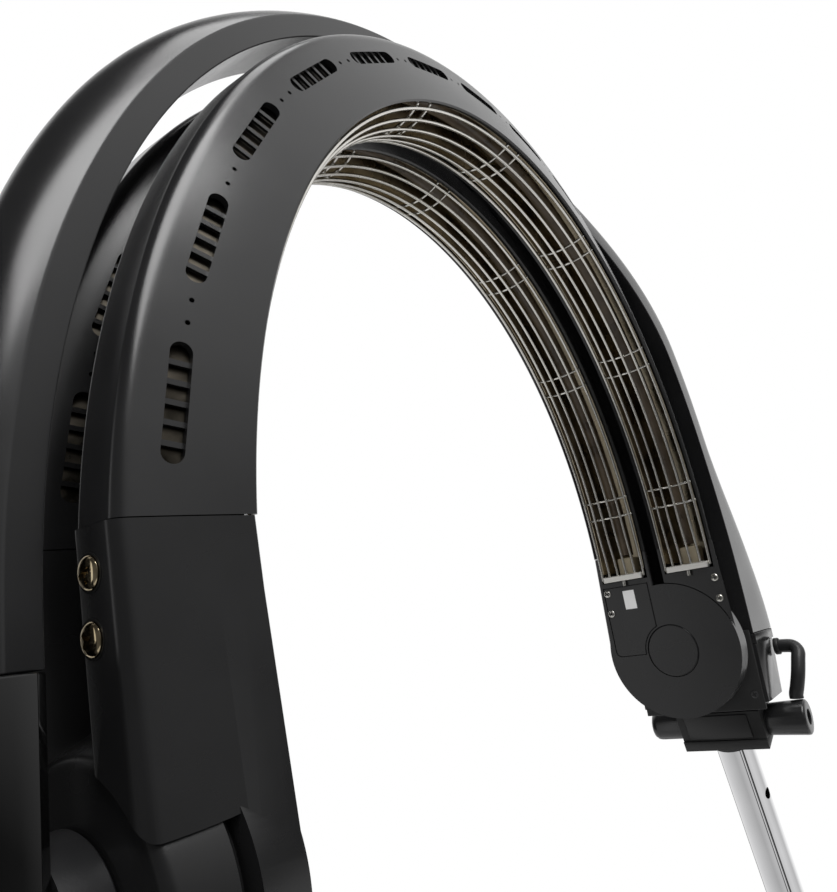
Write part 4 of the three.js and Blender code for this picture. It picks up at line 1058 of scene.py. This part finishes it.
def make_axles():
    """Black axles whose flanges end flat against the arm."""
    for name, end in (("far", 1), ("near", -1)):
        axle = hub_turned(f"hub_axle_{name}_skin", AXLE, sides=72)
        settle(axle, HEAD.inverted() @ HUBS @ (HALF_TURN if end < 0 else STILL))
        low, high = sorted((end * AXLE_END_X, end * PAST_X))
        carve(axle, prism_x("past", rectangle(*PAST_CORNERS), low, high, STILL))
        settle(axle, HEAD)
        smooth(axle)
        dress(axle, "oxide", "head", f"hub_axle_{name}")


# Screws and label

def screw(name, place, radius, look, body, rise=PAN_RISE):
    """Pan-head screw with a cross recess; place puts its seat at the origin and its head along +Z."""
    dome = [(radius, -SCREW_SINK)] + [(radius * out, radius * up * rise) for out, up in SCREW_DOME]
    head = lathe(name, dome, STILL, sides=40)
    long, thin = (radius * share for share in SCREW_RECESS)
    for x, y in ((long, thin), (thin, long)):
        carve(head, prism("recess", rectangle((-x, -y), (x, y)), RECESS_FLOOR, radius, STILL))
    settle(head, place)
    smooth(head, angle=30)
    dress(head, look, body)


def facing(point, way, spin):
    """Place on the hubs for a small part that stands on a face towards +X or -X."""
    turn = Vector((way, 0, 0)).to_track_quat("Z", "X").to_matrix().to_4x4()
    return HUBS @ Matrix.Translation(point) @ turn @ Matrix.Rotation(spin, 4, "Z")


def make_small_screws():
    """Two screws in each cover and two in each plain end block."""
    plan = (("rear", "cover", 1, 1), ("front", "far", 1, -1),
            ("front", "cover", -1, -1), ("rear", "near", -1, 1))
    spin = FIRST_SPIN
    for arch, label, end, side in plan:
        covered = label == "cover"
        x = end * (HALF_SPAN - (COVER_PROUD if covered else 0))
        for number, (across, height) in enumerate(COVER_SCREWS if covered else PLAIN_SCREWS, 1):
            place = facing((x, side * across, height), -end, spin)
            screw(f"{arch}_{label}_screw_{number}", place, SCREW_RADIUS, "zinc", f"{arch}_arch")
            spin += SPIN_STEP


def make_crown_screws():
    """Two large screws, each in a seat coloured near black as painted shade, on the outer side of each near
    leg.
    """
    for number, (across, height, spin) in enumerate(CROWN_SCREWS, 1):
        for arch, side in (("front", -1), ("rear", 1)):
            place = facing((CROWN_X, side * across, height), -1, spin)
            # The seat's near-black look is painted shade in the recess round the head
            seat = lathe(f"{arch}_crown_seat_{number}", CROWN_SEAT, place, sides=48)
            smooth(seat)
            dress(seat, "recess_shade", f"{arch}_arch")
            screw(f"{arch}_crown_screw_{number}", place, CROWN_RADIUS, "brass", f"{arch}_arch", CROWN_RISE)


def make_root_screw():
    place = facing(ROOT_SCREW_PLACE, -1, ROOT_SCREW_SPIN)
    screw("root_plate_screw", place, SCREW_RADIUS, "oxide", "head", ROOT_SCREW_RISE)


def make_label():
    """Plain label place on the rear arch's cover, left blank."""
    face = HALF_SPAN - COVER_PROUD
    label = prism_x("blank_label", rectangle(*LABEL_CORNERS), face - LABEL_THICK, face, HUBS)
    soften(label, LABEL_EDGE)
    dress(label, "label", "rear_arch")


# Carrying arm

def turn_share(turn, low, high):
    return smoothstep(turn, math.radians(low), math.radians(high))


def ridge_at(turn):
    """The ridge is nearest to the arches at the crown."""
    near, crown, far = ARM_RIDGES
    ridge = between(near, crown, turn_share(turn, *ARM_RIDGE_FALL))
    return between(ridge, far, turn_share(turn, *ARM_RIDGE_CLIMB))


def round_half(ridge, share):
    """Rounded outer side of the slim arm, from the shoulder to the ridge."""
    crease = math.radians(ARM_CREASE)
    turn = between(crease, math.pi / 2, share)
    height = (ridge - ARM_SHOULDER) / (1 - math.sin(crease))
    return ridge - height * (1 - math.sin(turn)), ARM_HALF * math.cos(turn) / math.cos(crease)


def broad_half(offsets, widths, share):
    """Broad arm with a rounded corner and a flat outer side."""
    corner = min(share / ARM_CORNER, 1)
    flat = max(share - ARM_CORNER, 0) / (1 - ARM_CORNER)
    return between(*offsets, 1 - (1 - corner) ** 2), between(*widths, corner ** 2) * (1 - flat)


def arm_section(ridge, widened, rooted):
    """Flat sides from the inner face to the shoulders, then a rounded outer side."""
    half = []
    for step in range(ARM_STEPS + 1):
        share = step / ARM_STEPS
        shapes = round_half(ridge, share), broad_half(*ARM_WIDE, share), broad_half(*ARM_ROOT, share)
        half.append(tuple(between(between(slim, wide, widened), root, rooted)
                          for slim, wide, root in zip(*shapes)))
    half.insert(0, (ARM_INNER, half[0][1]))
    return half + [(offset, -y) for offset, y in reversed(half[:-1])]


def rooted_at(z):
    return 1 - smoothstep(z, 0, ROOT_RISE)


def make_arm():
    """Straight from the control end, over the arches, then straight down to the root band."""
    near, _, far = ARM_RIDGES
    section = arm_section(near, 0, 0)
    rings = [[(-HALF_SPAN - offset, y, z) for offset, y in section] for z in ARM_NEAR_LEVELS]
    for step in range(ARM_RINGS + 1):
        turn = math.pi * step / ARM_RINGS
        rooted = rooted_at(arch_point(ARM_MIDDLE, 0, turn).z) if turn > math.pi / 2 else 0
        section = arm_section(ridge_at(turn), turn_share(turn, *ARM_WIDENING), rooted)
        rings.append([arch_point(offset, y, turn) for offset, y in section])
    for step in range(1, ARM_FOOT_RINGS + 1):
        z = between(ARCH_CENTRE_Z, BAND_HEIGHT / 2, step / ARM_FOOT_RINGS)
        section = arm_section(far, 1, rooted_at(z))
        rings.append([(HALF_SPAN + offset, y, z) for offset, y in section])
    arm = loft("carrying_arm_skin", rings, HEAD)
    smooth(arm, ARM_SHARP)
    soften(arm, ARM_EDGE, ARM_EDGE_STEPS, ARM_SHARP)
    dress(arm, "satin", "head", "carrying_arm")


# Head cable

def make_cable():
    route = curve_through(CABLE_ROUTE, CABLE_STEPS)
    cable = tube("head_cable_skin", route, CABLE_RADIUS, HEAD, CABLE_SIDES)
    smooth(cable)
    cable.data.materials.append(LOOKS["cable"])
    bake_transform(cable)
    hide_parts("head_cable")


# Post and stand

def make_barrels():
    for name, profile, turn in (("front", BARREL_FRONT, Z_TO_Y.inverted()), ("rear", BARREL_REAR, Z_TO_Y)):
        barrel = lathe(f"barrel_{name}_skin", profile, POST @ turn)
        smooth(barrel, angle=40)
        dress(barrel, "satin", "post", f"barrel_{name}")


def make_pole():
    """Chrome tube under its collar, with a round hole near the top."""
    dress(round_ring("post_collar_skin", POST_COLLAR, POST), "satin", "post", "post_collar")
    pole = round_ring("upper_tube_skin", UPPER_TUBE, POST)
    turn = Matrix.Rotation(math.radians(POLE_HOLE_TURN), 4, "Z")
    aim = POST @ Matrix.Translation((0, 0, POLE_HOLE_Z)) @ turn
    carve(pole, rod_x("hole", POLE_HOLE_RADIUS, *POLE_HOLE_REACH, aim, sides=40))
    smooth(pole, angle=40)
    dress(pole, "chrome", "post", "upper_tube")


def make_stand():
    dress(round_ring("lower_tube_skin", LOWER_TUBE, STAND), "chrome", "base", "lower_tube")
    dress(round_ring("height_collar_skin", HEIGHT_COLLAR, STAND), "satin", "base", "height_collar")


def make_wheels():
    wheel = [(radius, -across) for radius, across in reversed(WHEEL_HALF)] + list(WHEEL_HALF)
    for number in CASTERS:
        low, high = (Vector(corner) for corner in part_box(f"caster_wheel_{number}"))
        place = Matrix.Translation((low + high) / 2) @ Matrix.Scale(MM, 4) @ Z_TO_Y.inverted()
        tyre = lathe(f"caster_wheel_{number}_skin", wheel, place, sides=48)
        smooth(tyre, angle=30)
        dress(tyre, "rubber", f"wheel_{number}", f"caster_wheel_{number}")


def dress_kept():
    for look, names in KEPT.items():
        for name in names:
            node = frame["nodes"][name]
            node.data.materials.clear()
            node.data.materials.append(LOOKS[look])
            weld = node.modifiers.new("weld", "WELD")
            weld.merge_threshold = WELD_DISTANCE
            soften(node, EDGE_WIDTHS.get(name, PLAIN_EDGE))
            for face in node.data.polygons:
                face.use_smooth = True


def main():
    bpy.context.scene.view_settings.view_transform = "Standard"
    make_camera()
    make_cable()
    make_world()
    make_lamps()
    make_floor()
    make_shells()
    for name, side in (("front", -1), ("rear", 1)):
        make_reflector(name, side * ARCH_MIDDLE_Y)
        make_guard(name, side * ARCH_MIDDLE_Y)
    make_ends()
    make_axles()
    make_small_screws()
    make_crown_screws()
    make_root_screw()
    make_label()
    make_arm()
    make_barrels()
    make_pole()
    make_stand()
    make_wheels()
    dress_kept()


main()
